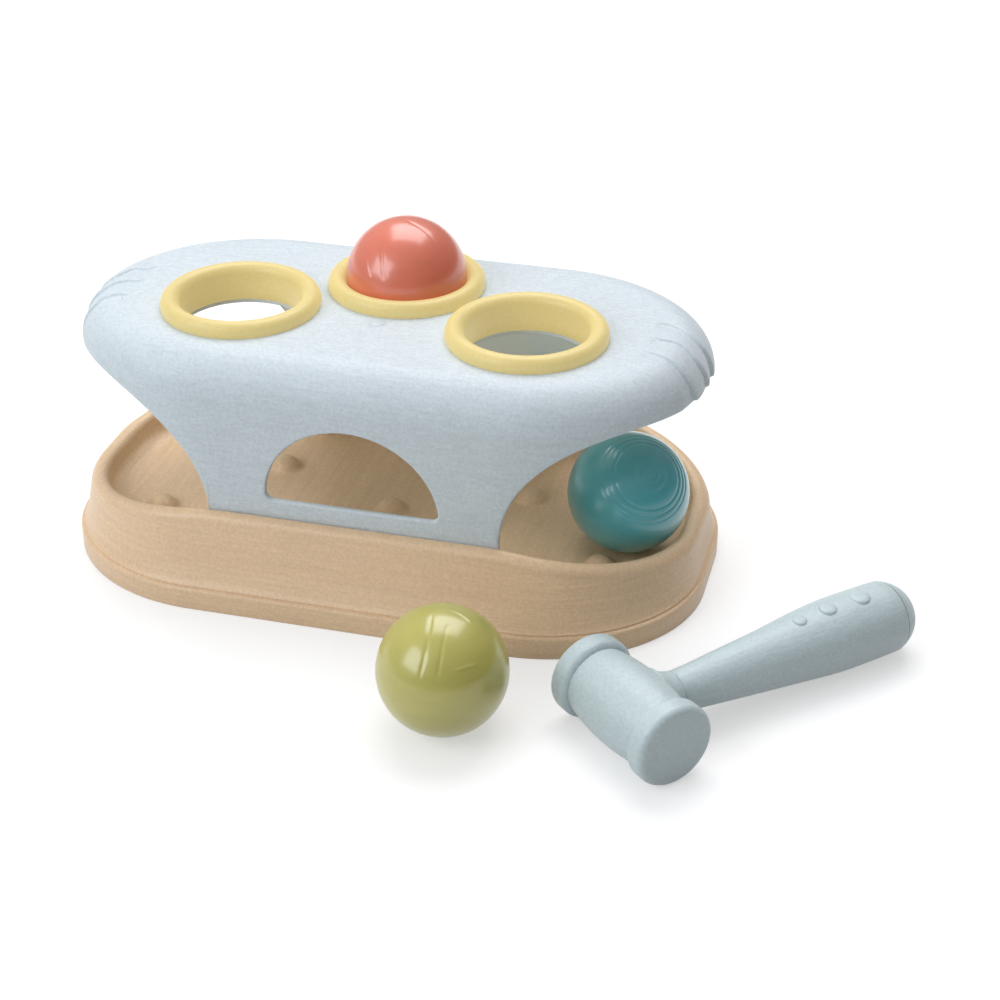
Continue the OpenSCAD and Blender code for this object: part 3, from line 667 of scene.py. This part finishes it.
def posts(shape):
    """The screw posts inside the bench, each with a rib to its wall."""
    bevel, low_bevel = 0.5, 0.4
    for px, py in POST_AT:
        shape.lathe([(0, POST_TOP), (POST_R - bevel, POST_TOP), (POST_R, POST_TOP - bevel),
                     (POST_R, POST_LOW + low_bevel), (POST_R - low_bevel, POST_LOW), (THREAD_R, POST_LOW),
                     (THREAD_R, THREAD_TOP), (0, THREAD_TOP)], shift(px, py, 0), 40)
        x0, x1 = px - RIB_HALF, px + RIB_HALF
        wall_y = py + math.copysign(RIB_REACH, py)
        box = [(x0, py), (x1, py), (x1, wall_y), (x0, wall_y)]
        shape.grid([[(x, y, z) for x, y in box] for z in (SEAT_H, POST_TOP)], closed=True)
        for z in (POST_TOP, SEAT_H):
            shape.cap([(x, y, z) for x, y in box])


def bench():
    shape = Shape()
    angles = end_angles(fine=True)
    body_shell(shape, 0.0, angles)
    outside = len(shape.faces)
    body_shell(shape, WALL, end_angles(fine=False))
    # The inner faces take the lit copy of the blue, whose colour and glow are painted light
    shape.inside_faces = range(outside, len(shape.faces))
    hem_lip(shape, angles)
    lip(shape, [arch_point(*place) for place in ARCH])
    collars(shape)
    posts(shape)
    shape.lathe([(r, TOP + rise) for r, rise in GATE_MARK], GATE_AT, 32)
    shape.build("bench_shell", BLUE, "bench", "bench_body", sharp=38, inside=BLUE_INSIDE_PAINTED_LIGHT)


# Tray and base plate. FOOT and RIM are the oval at the foot and at the rim: half its length and
# width, and the reach of its corners along X and Y. The rim is a rod that dips towards the ends.
FOOT = (123.0, 70.8, 63.4, 57.8)
RIM = (116.4, 57.4, 51.2, 50.1)
RIM_A, RIM_B = RIM[:2]
RIM_R, RIM_Z = 3.54, 32.26
DIP, DIP_X, DIP_CURVE = 10.0, 50.0, 1.5
SEAM_Z, FLOOR_Z = 9.4, 16.0
CORNER_STEPS, LONG_STEPS, SHORT_STEPS = 44, 30, 4
# The wall outside as (share of the way up to the rim, inset, height), and inside as (inset from the
# rim's oval, height, share of the dip)
OUTSIDE = [(0, 1.3, SEAM_Z), (0.06, 1.69, 10.63), (0.17, 1.75, 13.58), (0.385, 0.72, 17.6),
           (1.0, -RIM_R, 28.5)]
INSIDE = [(RIM_R, RIM_Z, 1.0), (4.25, 26.57, 0.72), (5.24, 21.7, 0.36), (6.73, 18.44, 0.12),
          (8.64, 16.65, 0.02), (10.62, FLOOR_Z, 0.0), (12.5, FLOOR_Z, 0.0)]
OUTSIDE_STEPS, INSIDE_STEPS, RISE_ROWS, RIM_ROWS = 6, 7, 6, 24
# The underside as (share of the way up to the rim, inset, height, share of the dip)
UNDERSIDE = [(0, 1.3, SEAM_Z, 0), (0, 3.8, SEAM_Z, 0), (0.06, 4.19, 10.63, 0), (0.17, 4.25, 13.58, 0),
             (0.385, 3.22, 17.6, 0), (1, -1.0, 31.0, 1.0), (1, 1.0, 31.0, 1.0), (1, 2.74, 21.1, 0.36),
             (1, 4.23, 17.3, 0.12), (1, 8.12, 13.5, 0)]
# Half the length of the flat seats for the bench's long walls, and where they lie across
SEAT_X, SEAT_IN, SEAT_OUT = 55.15, 50.0, 56.15
# Five bumps on the floor and six screws of the base plate, in shares of the rim's oval
BUMPS = [(sx * RIM_A, sy * RIM_B)
         for sx, sy in ((-0.74, -0.5), (-0.435, 0.215), (0, -0.16), (0.435, 0.215), (0.74, -0.5))]
PLATE_SCREWS = [(sx * RIM_A, sy * RIM_B) for sx, sy in (
    (-0.8, 0), (-0.38, -0.44), (-0.38, 0.44), (0.38, -0.44), (0.38, 0.44), (0.8, 0))]
# Profiles as (radius, height): of a bump, of a tower below a post of the bench, and of the boss and
# the cup for a screw of the base plate
BUMP = [(0, 20.6), (1.6, 20.45), (3.4, 19.6), (4.9, 18.1), (5.9, 16.8), (6.8, 16.2), (8.0, 16.02)]
SCREW_R = 3.1
TOWER = [(0, 20.2), (THREAD_R, 20.2), (THREAD_R, POST_LOW), (5.0, POST_LOW), (5.4, 24.0), (5.4, 13.5),
         (SCREW_R, 13.5), (SCREW_R, 20.2), (0, 20.2)]
BOSS = [(4, 14), (4, 5), (THREAD_R, 5), (THREAD_R, 11.5), (0, 11.5)]
PLATE_TOP, PLATE_HOLE_R, CUP_R = 2.5, 3.4, 5.25
CUP = [(PLATE_HOLE_R, 0), (SCREW_R, 0.3), (SCREW_R, 2.4), (THREAD_R, 2.4), (THREAD_R, 5), (4.9, 5),
       (CUP_R, 4.65), (CUP_R, PLATE_TOP)]
# The pan from its underside, up its band and over to its floor, as (inset, height)
PAN = [(0.6, 0.0), (0.35, 0.0), (0.12, 0.1), (0.03, 0.25), (0.0, 0.45), (0.0, 2.5), (0.0, 4.6), (0.0, 7.7),
       (0.05, 8.0), (0.18, 8.28), (0.42, 8.48), (0.8, 8.62), (1.3, 8.76), (1.55, 8.95), (1.6, 9.38),
       (2.7, SEAM_Z), (5.2, SEAM_Z), (5.2, PLATE_TOP)]


def dip(x):
    """Share of the rim's dip at a place along the tray."""
    t = (abs(x) - DIP_X) / (RIM_A - DIP_X)
    return 0.0 if t <= 0 else min(t, 1.0) ** DIP_CURVE


def oval(a, b, rx, ry):
    """Rounded rectangle with elliptic corners, the same number of points for any size."""
    out = []
    for q, (sx, sy) in enumerate(((1, 1), (-1, 1), (-1, -1), (1, -1))):
        for i in range(CORNER_STEPS + 1):
            t = PI / 2 * (q + i / CORNER_STEPS)
            out.append((sx * (a - rx) + rx * math.cos(t), sy * (b - ry) + ry * math.sin(t)))
        if q in (0, 2):
            out += [(x, sy * b) for x in spread(sx * (a - rx), -sx * (a - rx), LONG_STEPS)[1:-1]]
        else:
            out += [(sx * a, y) for y in spread(sy * (b - ry), -sy * (b - ry), SHORT_STEPS)[1:-1]]
    return out


def tray_loop(up, inset, z, share):
    """A loop round the tray: up is its place from the foot to the rim, and share how much of the
    rim's dip it takes, both from 0 to 1."""
    a, b, rx, ry = (foot + up * (rim - foot) - inset for foot, rim in zip(FOOT, RIM))
    return [(x, y, z - DIP * share * dip(x)) for x, y in oval(a, b, rx, ry)]


def tray_wall(shape):
    """The tray's wall from the seam up, over the rim and down to the floor inside."""
    outside = spline(OUTSIDE, OUTSIDE_STEPS)[:-OUTSIDE_STEPS]
    loops = [tray_loop(up, inset, z, 0.0) for up, inset, z in outside]
    wall_top = outside[-1]
    for k in range(1, RISE_ROWS):
        share = k / RISE_ROWS
        up, inset, z = wall_top + (np.array([1.0, -RIM_R, RIM_Z]) - wall_top) * share
        loops.append(tray_loop(up, inset, z, share))
    below_rim = len(loops)
    for a in spread(0.0, PI, RIM_ROWS):
        loops.append(tray_loop(1.0, -RIM_R * math.cos(a), RIM_Z + RIM_R * math.sin(a), 1.0))
    for inset, z, share in spline(INSIDE, INSIDE_STEPS)[1:]:
        loops.append(tray_loop(1.0, inset, z, share))
    for row in loops[below_rim:]:
        for k, (x, y, z) in enumerate(row):
            if abs(x) < SEAT_X and SEAT_IN < abs(y) < SEAT_OUT:
                row[k] = (x, y, min(z, SEAT_H))
    shape.grid(loops, closed=True)
    shape.cap(loops[-1])


def tray():
    shape = Shape()
    tray_wall(shape)
    under = [tray_loop(*place) for place in UNDERSIDE]
    shape.grid(under, closed=True)
    shape.cap(under[-1])
    turned = ((spline(BUMP, 5), BUMPS, 64), (TOWER, POST_AT, 40), (BOSS, PLATE_SCREWS, 32))
    for profile, places, segments in turned:
        for x, y in places:
            shape.lathe(profile, shift(x, y, 0), segments)
    shape.build("catch_tray", TAN, "bench", "tray", sharp=40)


def base_plate():
    shape = Shape()
    loops = [tray_loop(0, inset, z, 0) for inset, z in PAN]
    shape.grid(loops, closed=True)
    for z, radius, loop in ((0.0, PLATE_HOLE_R, loops[0]), (PLATE_TOP, CUP_R, loops[-1])):
        shape.plate([loop] + [circle(cx, cy, z, radius, 40) for cx, cy in PLATE_SCREWS])
    for cx, cy in PLATE_SCREWS:
        shape.lathe(CUP, shift(cx, cy, 0), 40)
    shape.build("base_pan", TAN, "bench", "base_plate", sharp=40)


# Rings: a sleeve with a bore, and a round bead on the top of the bench
BORE_R, SLEEVE_R, SLEEVE_LOW, SLEEVE_BEVEL = 22.6, 24.85, 89.85, 0.45
ROUND_AT, ROUND_RISE, ROUND_R = 26.05, 1.9, 3.42


def rings():
    top_of_bore = (BORE_R, 97.0)
    profile = [top_of_bore, (BORE_R, 94.0), (BORE_R, SLEEVE_LOW + SLEEVE_BEVEL), (23.0, SLEEVE_LOW),
               (SLEEVE_R - SLEEVE_BEVEL, SLEEVE_LOW), (SLEEVE_R, SLEEVE_LOW + SLEEVE_BEVEL),
               (SLEEVE_R, TOP - 0.3), (SLEEVE_R, TOP), (29.3, TOP), (29.45, TOP + 0.2)]
    profile += arc(ROUND_AT, TOP + ROUND_RISE, ROUND_R, 0, 180, 40)
    profile += [(BORE_R, TOP), top_of_bore]
    for name, (cx, cy) in zip(("left_ring", "middle_ring", "right_ring"), RINGS):
        shape = Shape()
        shape.lathe(profile, shift(cx, cy, 0), 160)
        # The rings take the yellow with its painted glow
        shape.build(name + "_soft", YELLOW_WITH_PAINTED_GLOW, "bench", name, sharp=50)


# Balls. Places on a ball are shares of its radius in the camera's picture.
BALL_R, BALL_INNER_R = 22.5, 20.5
BALL_AROUND, BALL_ROWS, BALL_INNER_ROWS = 420, 151, 13
STROKE_FADE = 0.18
# Strength of the teal ball's rings: its mean, and its growth towards the side where they are clearest
RING_MEAN, RING_GROWTH = 0.4, 0.75
# The teal ball's rings as (angle from the pole, width, rise), with angles in degrees
TEAL_RINGS = [(34.0, 2.4, -0.35), (40.5, 2.2, -0.35), (47.0, 2.2, -0.3), (8.0, 1.8, -0.25),
              (17.0, 1.8, -0.22)]
# Strokes as (width in shares of the radius, rise in millimetres, places)
RED_STROKES = [
    (0.034, -0.20, [(-0.33, 0.48), (-0.37, 0.31), (-0.36, 0.08), (-0.33, -0.2)]),
    (0.030, 0.14, [(-0.62, 0.22), (-0.61, 0.05), (-0.54, -0.2)]),
    (0.030, 0.10, [(-0.749, 0.344), (-0.62, 0.48), (-0.46, 0.60)]),
    (0.034, -0.16, [(-0.2, 0.93), (0.116, 0.794), (0.38, 0.6), (0.56, 0.36)]),
]
GREEN_STROKES = [
    (0.032, -0.20, [(-0.12, 0.90), (-0.16, 0.68), (-0.20, 0.42), (-0.26, 0.15), (-0.32, -0.12)]),
    (0.032, -0.20, [(0.20, 0.73), (0.08, 0.68), (0.03, 0.45), (-0.01, 0.2), (-0.06, -0.1)]),
    (0.032, 0.17, [(0.12, 0.92), (0.32, 0.83), (0.48, 0.70)]),
    (0.026, 0.16, [(0.19, 0.06), (0.36, 0.11), (0.54, 0.15)]),
    (0.030, 0.08, [(-0.34, -0.46), (-0.2, -0.45), (-0.05, -0.39)]),
    (0.034, -0.16, [(-0.948, 0.146), (-0.918, -0.226), (-0.77, -0.493), (-0.651, -0.657)]),
]


def facing(a, b):
    """Direction of a point on a ball by its place in the camera's picture."""
    c = math.sqrt(max(0.0, 1 - a * a - b * b))
    return np.array(RIGHT * a + UP * b + BACK * c)


def stroke_relief(strokes):
    """Relief along strokes, which fade out towards both ends."""
    def relief(_local, world):
        total = np.zeros(len(world))
        for width, rise, places in strokes:
            near = np.full(len(world), np.inf)
            along = np.zeros(len(world))
            ends = [facing(*place) for place in places]
            spans = [np.linalg.norm(q - p) for p, q in zip(ends, ends[1:])]
            before = 0.0
            for p, q, span in zip(ends, ends[1:], spans):
                t = np.clip((world - p) @ (q - p) / span ** 2, 0, 1)
                away = np.linalg.norm(world - p - t[:, None] * (q - p), axis=1)
                along = np.where(away < near, (before + t * span) / sum(spans), along)
                near = np.minimum(near, away)
                before += span
            fade = np.clip(np.minimum(along, 1 - along) / STROKE_FADE, 0, 1)
            total += rise * fade * np.exp(-(near / width) ** 2)
        return total
    return relief


def ring_relief(rings_at, clear):
    """Relief of rings about the pole, clearest on the side that faces the place named by clear."""
    def relief(local, world):
        angle = np.degrees(np.arccos(np.clip(local[:, 2], -1, 1)))
        share = np.clip(RING_MEAN + RING_GROWTH * (world @ facing(*clear)), 0, 1)
        total = np.zeros(len(world))
        for centre, width, rise in rings_at:
            total += share * rise * np.exp(-((angle - centre) / (width * 0.5)) ** 2)
        return total
    return relief


def parallel_row(theta, sign):
    """Directions round a ball at an angle from its pole, upwards or, with sign -1, downwards."""
    phi = 2 * PI * np.arange(BALL_AROUND) / BALL_AROUND
    height = np.full(BALL_AROUND, sign * math.cos(theta))
    return np.stack([math.sin(theta) * np.cos(phi), math.sin(theta) * np.sin(phi), height], axis=1)


def ball(name, centre, pole, material, relief):
    """Two hollow halves of a ball. Its seam lies square to its pole, given as a turn and a tilt."""
    axes = np.array((turn("Z", pole[0]) @ turn("Y", pole[1])).to_3x3())
    middle = np.array(centre)
    for half, sign in (("top", 1), ("bottom", -1)):
        rows = []
        for theta in np.linspace(0, PI / 2, BALL_ROWS):
            local = parallel_row(theta, sign)
            world = local @ axes.T
            reach = BALL_R + relief(local, world)
            rows.append((middle + world * reach[:, None]).tolist())
        for theta in np.linspace(PI / 2, 0, BALL_INNER_ROWS):
            rows.append((middle + BALL_INNER_R * parallel_row(theta, sign) @ axes.T).tolist())
        shape = Shape()
        shape.grid(rows, closed=True)
        shape.build(name + "_shell_" + half, material, name, name + "_" + half, sharp=50)


# Mallet. The middle of its barrel is the origin of HEAD and HANDLE: the barrel lies along HEAD's Y
# axis, and the handle along HANDLE's X axis.
MALLET_AT = shift(113.8, -109.2, 15.0)
HEAD = MALLET_AT @ turn("Z", 47.6)
HANDLE = MALLET_AT @ turn("Z", 45.9) @ turn("Y", 0.95)
HANDLE_LATHE = HANDLE @ turn("Y", 90)
BARREL_HALF, BARREL_END_R, BARREL_MID_R, BARREL_BORE_R = 17.5, 12.75, 14.5, 10.1
FACE_R, FACE_T, FACE_F, PLUG_R, PLUG_DEPTH = 14.95, 8.4, 2.5, 10.05, 5.0
# The neck as (radius, way along the handle), its end and its socket
NECK = [(10.6, 11.0), (9.6, 12.2), (8.8, 13.4), (8.05, 15.2), (7.62, 16.8), (7.5, 17.5)]
NECK_END, NECK_END_R, SOCKET_R, SPIGOT_R = 17.84, 7.3, 5.85, 5.8
# The handle's radius grows by GRIP_GROWTH up to GRIP_AT. GRIP is its end as (radius, way along it).
GRIP_AT, GRIP_GROWTH, GRIP_CURVE = 84.0, 6.0, 0.94
GRIP = [(12.93, 80.0), (13.18, 84.0), (13.29, 88.0), (13.31, 93.0), (13.25, 100.0), (13.14, 106.0),
        (13.05, 109.7), (12.85, 110.15)]
BORE = [(11.8, 110.15), (11.8, 109.0), (10.8, 109.0), (10.8, 60), (SPIGOT_R, 22)]
HANDLE_AROUND = 180
# The crease: its depth, where it is along the handle, and at which degrees from the handle's top
CREASE_DEPTH = 0.7
CREASE_ALONG = (17.0, 25.0, 56.0, 72.0)
CREASE_OVER = (17.0, 20.5, 40.0, 80.0)
# Raised dots as (way along the handle, radius), and their form as (share of the radius, way down)
DOTS = ((69.7, 2.6), (81.8, 3.25), (96.0, 3.8))
DOT_FORM = ((0, 0), (0.35, 0.02), (0.65, 0.12), (0.86, 0.34), (0.98, 0.7), (1.03, 1.1))
DOT_RISE, DOT_ROOT, DOT_TURN, DOT_MOST_R = 0.7, 0.6, 4.0, 13.28
# The end cap: its plug in the handle, and the middle, radius and start of its dome
CAP_PLUG = [(8.3, 102.4), (10.75, 102.4), (10.75, 110.5), (12.45, 110.5)]
DOME_AT, DOME_R, DOME_FROM = 106.7, 13.25, 110.6


def barrel_radius(z):
    """Radius of the barrel, which swells along a wide arc towards its middle."""
    rise = BARREL_MID_R - BARREL_END_R
    big = (BARREL_HALF * BARREL_HALF + rise * rise) / (2 * rise)
    return BARREL_MID_R - big + math.sqrt(big * big - z * z)


def mallet_head():
    shape = Shape()
    barrel = [(barrel_radius(z), z) for z in spread(-BARREL_HALF, BARREL_HALF, 32)]
    barrel += [(BARREL_BORE_R, z) for z in (BARREL_HALF, 0, -BARREL_HALF)]
    shape.lathe(barrel + barrel[:1], HEAD @ turn("X", 90), 128)
    neck = spline(NECK, 6) + [(7.42, 17.75), (NECK_END_R, NECK_END), (SOCKET_R, NECK_END), (SOCKET_R, 10.0),
                              (10.2, 10.0), NECK[0]]
    shape.lathe(neck, HANDLE_LATHE, 96)
    shape.build("mallet_head", MALLET, "hammer", "hammer_head", sharp=50)


def mallet_faces():
    """The round striking caps, each with a hollow plug in the barrel."""
    corner_r = FACE_R - FACE_F
    profile = [(r, FACE_T) for r in (0, 4, 8)] + arc(corner_r, FACE_T - FACE_F, FACE_F, 90, 0, 12)
    profile += arc(corner_r, FACE_F, FACE_F, 0, -90, 12)
    profile += [(PLUG_R, 0), (PLUG_R, -PLUG_DEPTH), (PLUG_R - WALL, -PLUG_DEPTH),
                (PLUG_R - WALL, FACE_T - WALL), (0, FACE_T - WALL)]
    for side, sign in (("front", 1), ("back", -1)):
        shape = Shape()
        shape.lathe(profile, HEAD @ turn("X", 90 * sign) @ shift(0, 0, BARREL_HALF), 128)
        shape.build("mallet_" + side + "_face", MALLET, "hammer", "hammer_" + side + "_face", sharp=50)


def handle_radius(s):
    """Radius of the handle at a way along it from the middle of the barrel."""
    share = clamp((s - NECK_END) / (GRIP_AT - NECK_END))
    return NECK_END_R + GRIP_GROWTH * share ** GRIP_CURVE


def crease(shape, first_row, skin):
    """Moves the skin of the handle in on one side, up to the line that the photo shows."""
    to_handle = HANDLE.inverted()
    for row, (_, s) in enumerate(skin, first_row):
        for k in range(row * HANDLE_AROUND, (row + 1) * HANDLE_AROUND):
            p = to_handle @ Vector(shape.points[k])
            over = math.degrees(math.atan2(p.y, p.z))
            size = math.hypot(p.y, p.z)
            new = size - CREASE_DEPTH * window(s, *CREASE_ALONG) * window(over, *CREASE_OVER)
            shape.points[k] = tuple(HANDLE @ Vector((p.x, p.y * new / size, p.z * new / size)))


def dots(shape):
    for s, r in DOTS:
        top = min(handle_radius(s), DOT_MOST_R) + DOT_RISE
        form = [(r * share, top - down) for share, down in DOT_FORM]
        form.append((r * 1.05, handle_radius(s) - DOT_ROOT))
        shape.lathe(spline(form, 4), HANDLE @ turn("X", DOT_TURN) @ shift(s, 0, 0), 64)


def mallet_handle():
    shape = Shape()
    spigot = [(SPIGOT_R, 8.0), (SPIGOT_R, NECK_END), (7.1, NECK_END)]
    skin = [(handle_radius(s), s) for s in [18.0, *np.linspace(19, 76, 24)]] + GRIP
    shape.lathe(spigot + skin + BORE, HANDLE_LATHE, HANDLE_AROUND)
    crease(shape, len(spigot), skin)
    dots(shape)
    shape.build("mallet_handle", MALLET, "hammer", "hammer_handle", sharp=50)


def mallet_end_cap():
    shape = Shape()
    start = math.degrees(math.asin((DOME_FROM - DOME_AT) / DOME_R))
    shape.lathe(CAP_PLUG + arc(0, DOME_AT, DOME_R, start, 90, 28), HANDLE_LATHE, 128)
    shape.build("mallet_end_cap", MALLET, "hammer", "hammer_end_cap", sharp=50)


# Build it all. The screws keep their CAD shape.
bench()
tray()
base_plate()
rings()
ball("red_ball", centre=(0, 18.4, 102.2), pole=(-60, 20), material=RED,
     relief=stroke_relief(RED_STROKES))
ball("teal_ball", centre=(92.6, -10.8, 38.8), pole=(-50.8, 44.3), material=TEAL,
     relief=ring_relief(TEAL_RINGS, clear=(0.95, 0.3)))
ball("green_ball", centre=(50.9, -114.2, BALL_R), pole=(-68, 50), material=GREEN,
     relief=stroke_relief(GREEN_STROKES))
mallet_head()
mallet_faces()
mallet_handle()
mallet_end_cap()
for name in ("body_screws", "base_screws"):
    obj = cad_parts[name]
    obj.data.materials.clear()
    obj.data.materials.append(STEEL)


# Floor and lights in metres, and the camera in millimetres
FLOOR_HALF = 4.0
FLOOR_COLOUR, FLOOR_ROUGH, FLOOR_SPECULAR = (0.57, 0.57, 0.57, 1), 0.9, 0.1
# The floor's glow near the middle and far from it, and how far these are
GLOW_NEAR, GLOW_FAR, NEAR, FAR_OFF = 0.48, 0.85, 0.45, 1.3
# The sky's strength is a mean plus its slope times the direction
SKY_MEAN, SKY_SLOPE = 0.3, (-0.2, 0.02, 0.3)
# The camera: lens and film width, how far it is from its target, and the target by its own axes
LENS, FILM, CAMERA_WAY = 72.0, 36.0, 785.7
TARGET = RIGHT * 39.5 + UP * 13.0


def floor_material():
    """Light grey, with a glow that the camera sees, also in mirrors and through glass."""
    mat = bpy.data.materials.new("floor_white")
    mat.use_nodes = True
    tree = mat.node_tree
    plain = tree.nodes["Principled BSDF"]
    fill(tree, plain, {"Base Color": FLOOR_COLOUR, "Roughness": FLOOR_ROUGH,
                       "Specular IOR Level": FLOOR_SPECULAR})
    # The lamps reach less far than the floor, so its own glow grows with the way from the middle
    place = tree.nodes.new("ShaderNodeTexCoord").outputs["Object"]
    way = add_node(tree, "VectorMath", {0: place}, "LENGTH")
    strength = add_node(tree, "MapRange", {"Value": way.outputs["Value"], "From Min": NEAR,
                                           "From Max": FAR_OFF, "To Min": GLOW_NEAR, "To Max": GLOW_FAR})
    glow = add_node(tree, "Emission", {"Strength": strength.outputs["Result"]})
    glowing = add_node(tree, "AddShader", {0: plain.outputs[0], 1: glow.outputs[0]})
    path = tree.nodes.new("ShaderNodeLightPath")
    seen = path.outputs["Is Camera Ray"]
    for other in ("Is Glossy Ray", "Is Transmission Ray"):
        seen = add_node(tree, "Math", {0: seen, 1: path.outputs[other]}, "MAXIMUM").outputs[0]
    mix = add_node(tree, "MixShader", {0: seen, 1: plain.outputs[0], 2: glowing.outputs[0]})
    fill(tree, tree.nodes["Material Output"], {"Surface": mix.outputs[0]})
    return mat


def floor():
    mesh = bpy.data.meshes.new("floor")
    s = FLOOR_HALF
    mesh.from_pydata([(-s, -s, 0), (s, -s, 0), (s, s, 0), (-s, s, 0)], [], [(0, 1, 2, 3)])
    mesh.materials.append(floor_material())
    new_object("floor", mesh)


def area(name, place, target, size, energy, colour):
    """A rectangular lamp that points at its target."""
    data = bpy.data.lights.new(name, "AREA")
    data.shape = "RECTANGLE"
    data.size, data.size_y = size
    data.energy = energy
    data.color = colour
    obj = new_object(name, data)
    obj.location = place
    obj.rotation_euler = (Vector(target) - Vector(place)).to_track_quat("-Z", "Y").to_euler()


def sky():
    """A sky that is brighter above and on the left than low down on the right."""
    world = bpy.data.worlds.new("studio")
    world.use_nodes = True
    tree = world.node_tree
    ray = tree.nodes.new("ShaderNodeTexCoord").outputs["Generated"]
    slope = add_node(tree, "VectorMath", {0: ray, 1: SKY_SLOPE}, "DOT_PRODUCT")
    level = add_node(tree, "Math", {0: slope.outputs["Value"], 1: SKY_MEAN}, "ADD")
    fill(tree, tree.nodes["Background"], {"Strength": level.outputs[0], "Color": (1, 1, 1, 1)})
    bpy.context.scene.world = world


def camera():
    """The camera that was fitted to the photo."""
    obj = new_object("camera", bpy.data.cameras.new("camera"))
    obj.data.lens = LENS
    obj.data.sensor_width = FILM
    obj.data.clip_start = 0.01
    place = (TARGET + BACK * CAMERA_WAY) * MM
    rows = [(RIGHT[k], UP[k], BACK[k], place[k]) for k in range(3)]
    obj.matrix_world = Matrix((*rows, (0, 0, 0, 1)))
    bpy.context.scene.camera = obj


floor()
area("overhead", (-0.05, 0.62, 1.28), (0.03, 0.0, 0.05), (1.15, 1.05), 13.4, (1.0, 0.985, 1.0))
area("front_left", (-0.52, -0.62, 0.58), (0.0, -0.02, 0.05), (0.62, 0.54), 3.7, (0.9, 0.95, 1.0))
sky()
camera()
bpy.context.scene.view_settings.view_transform = "Standard"
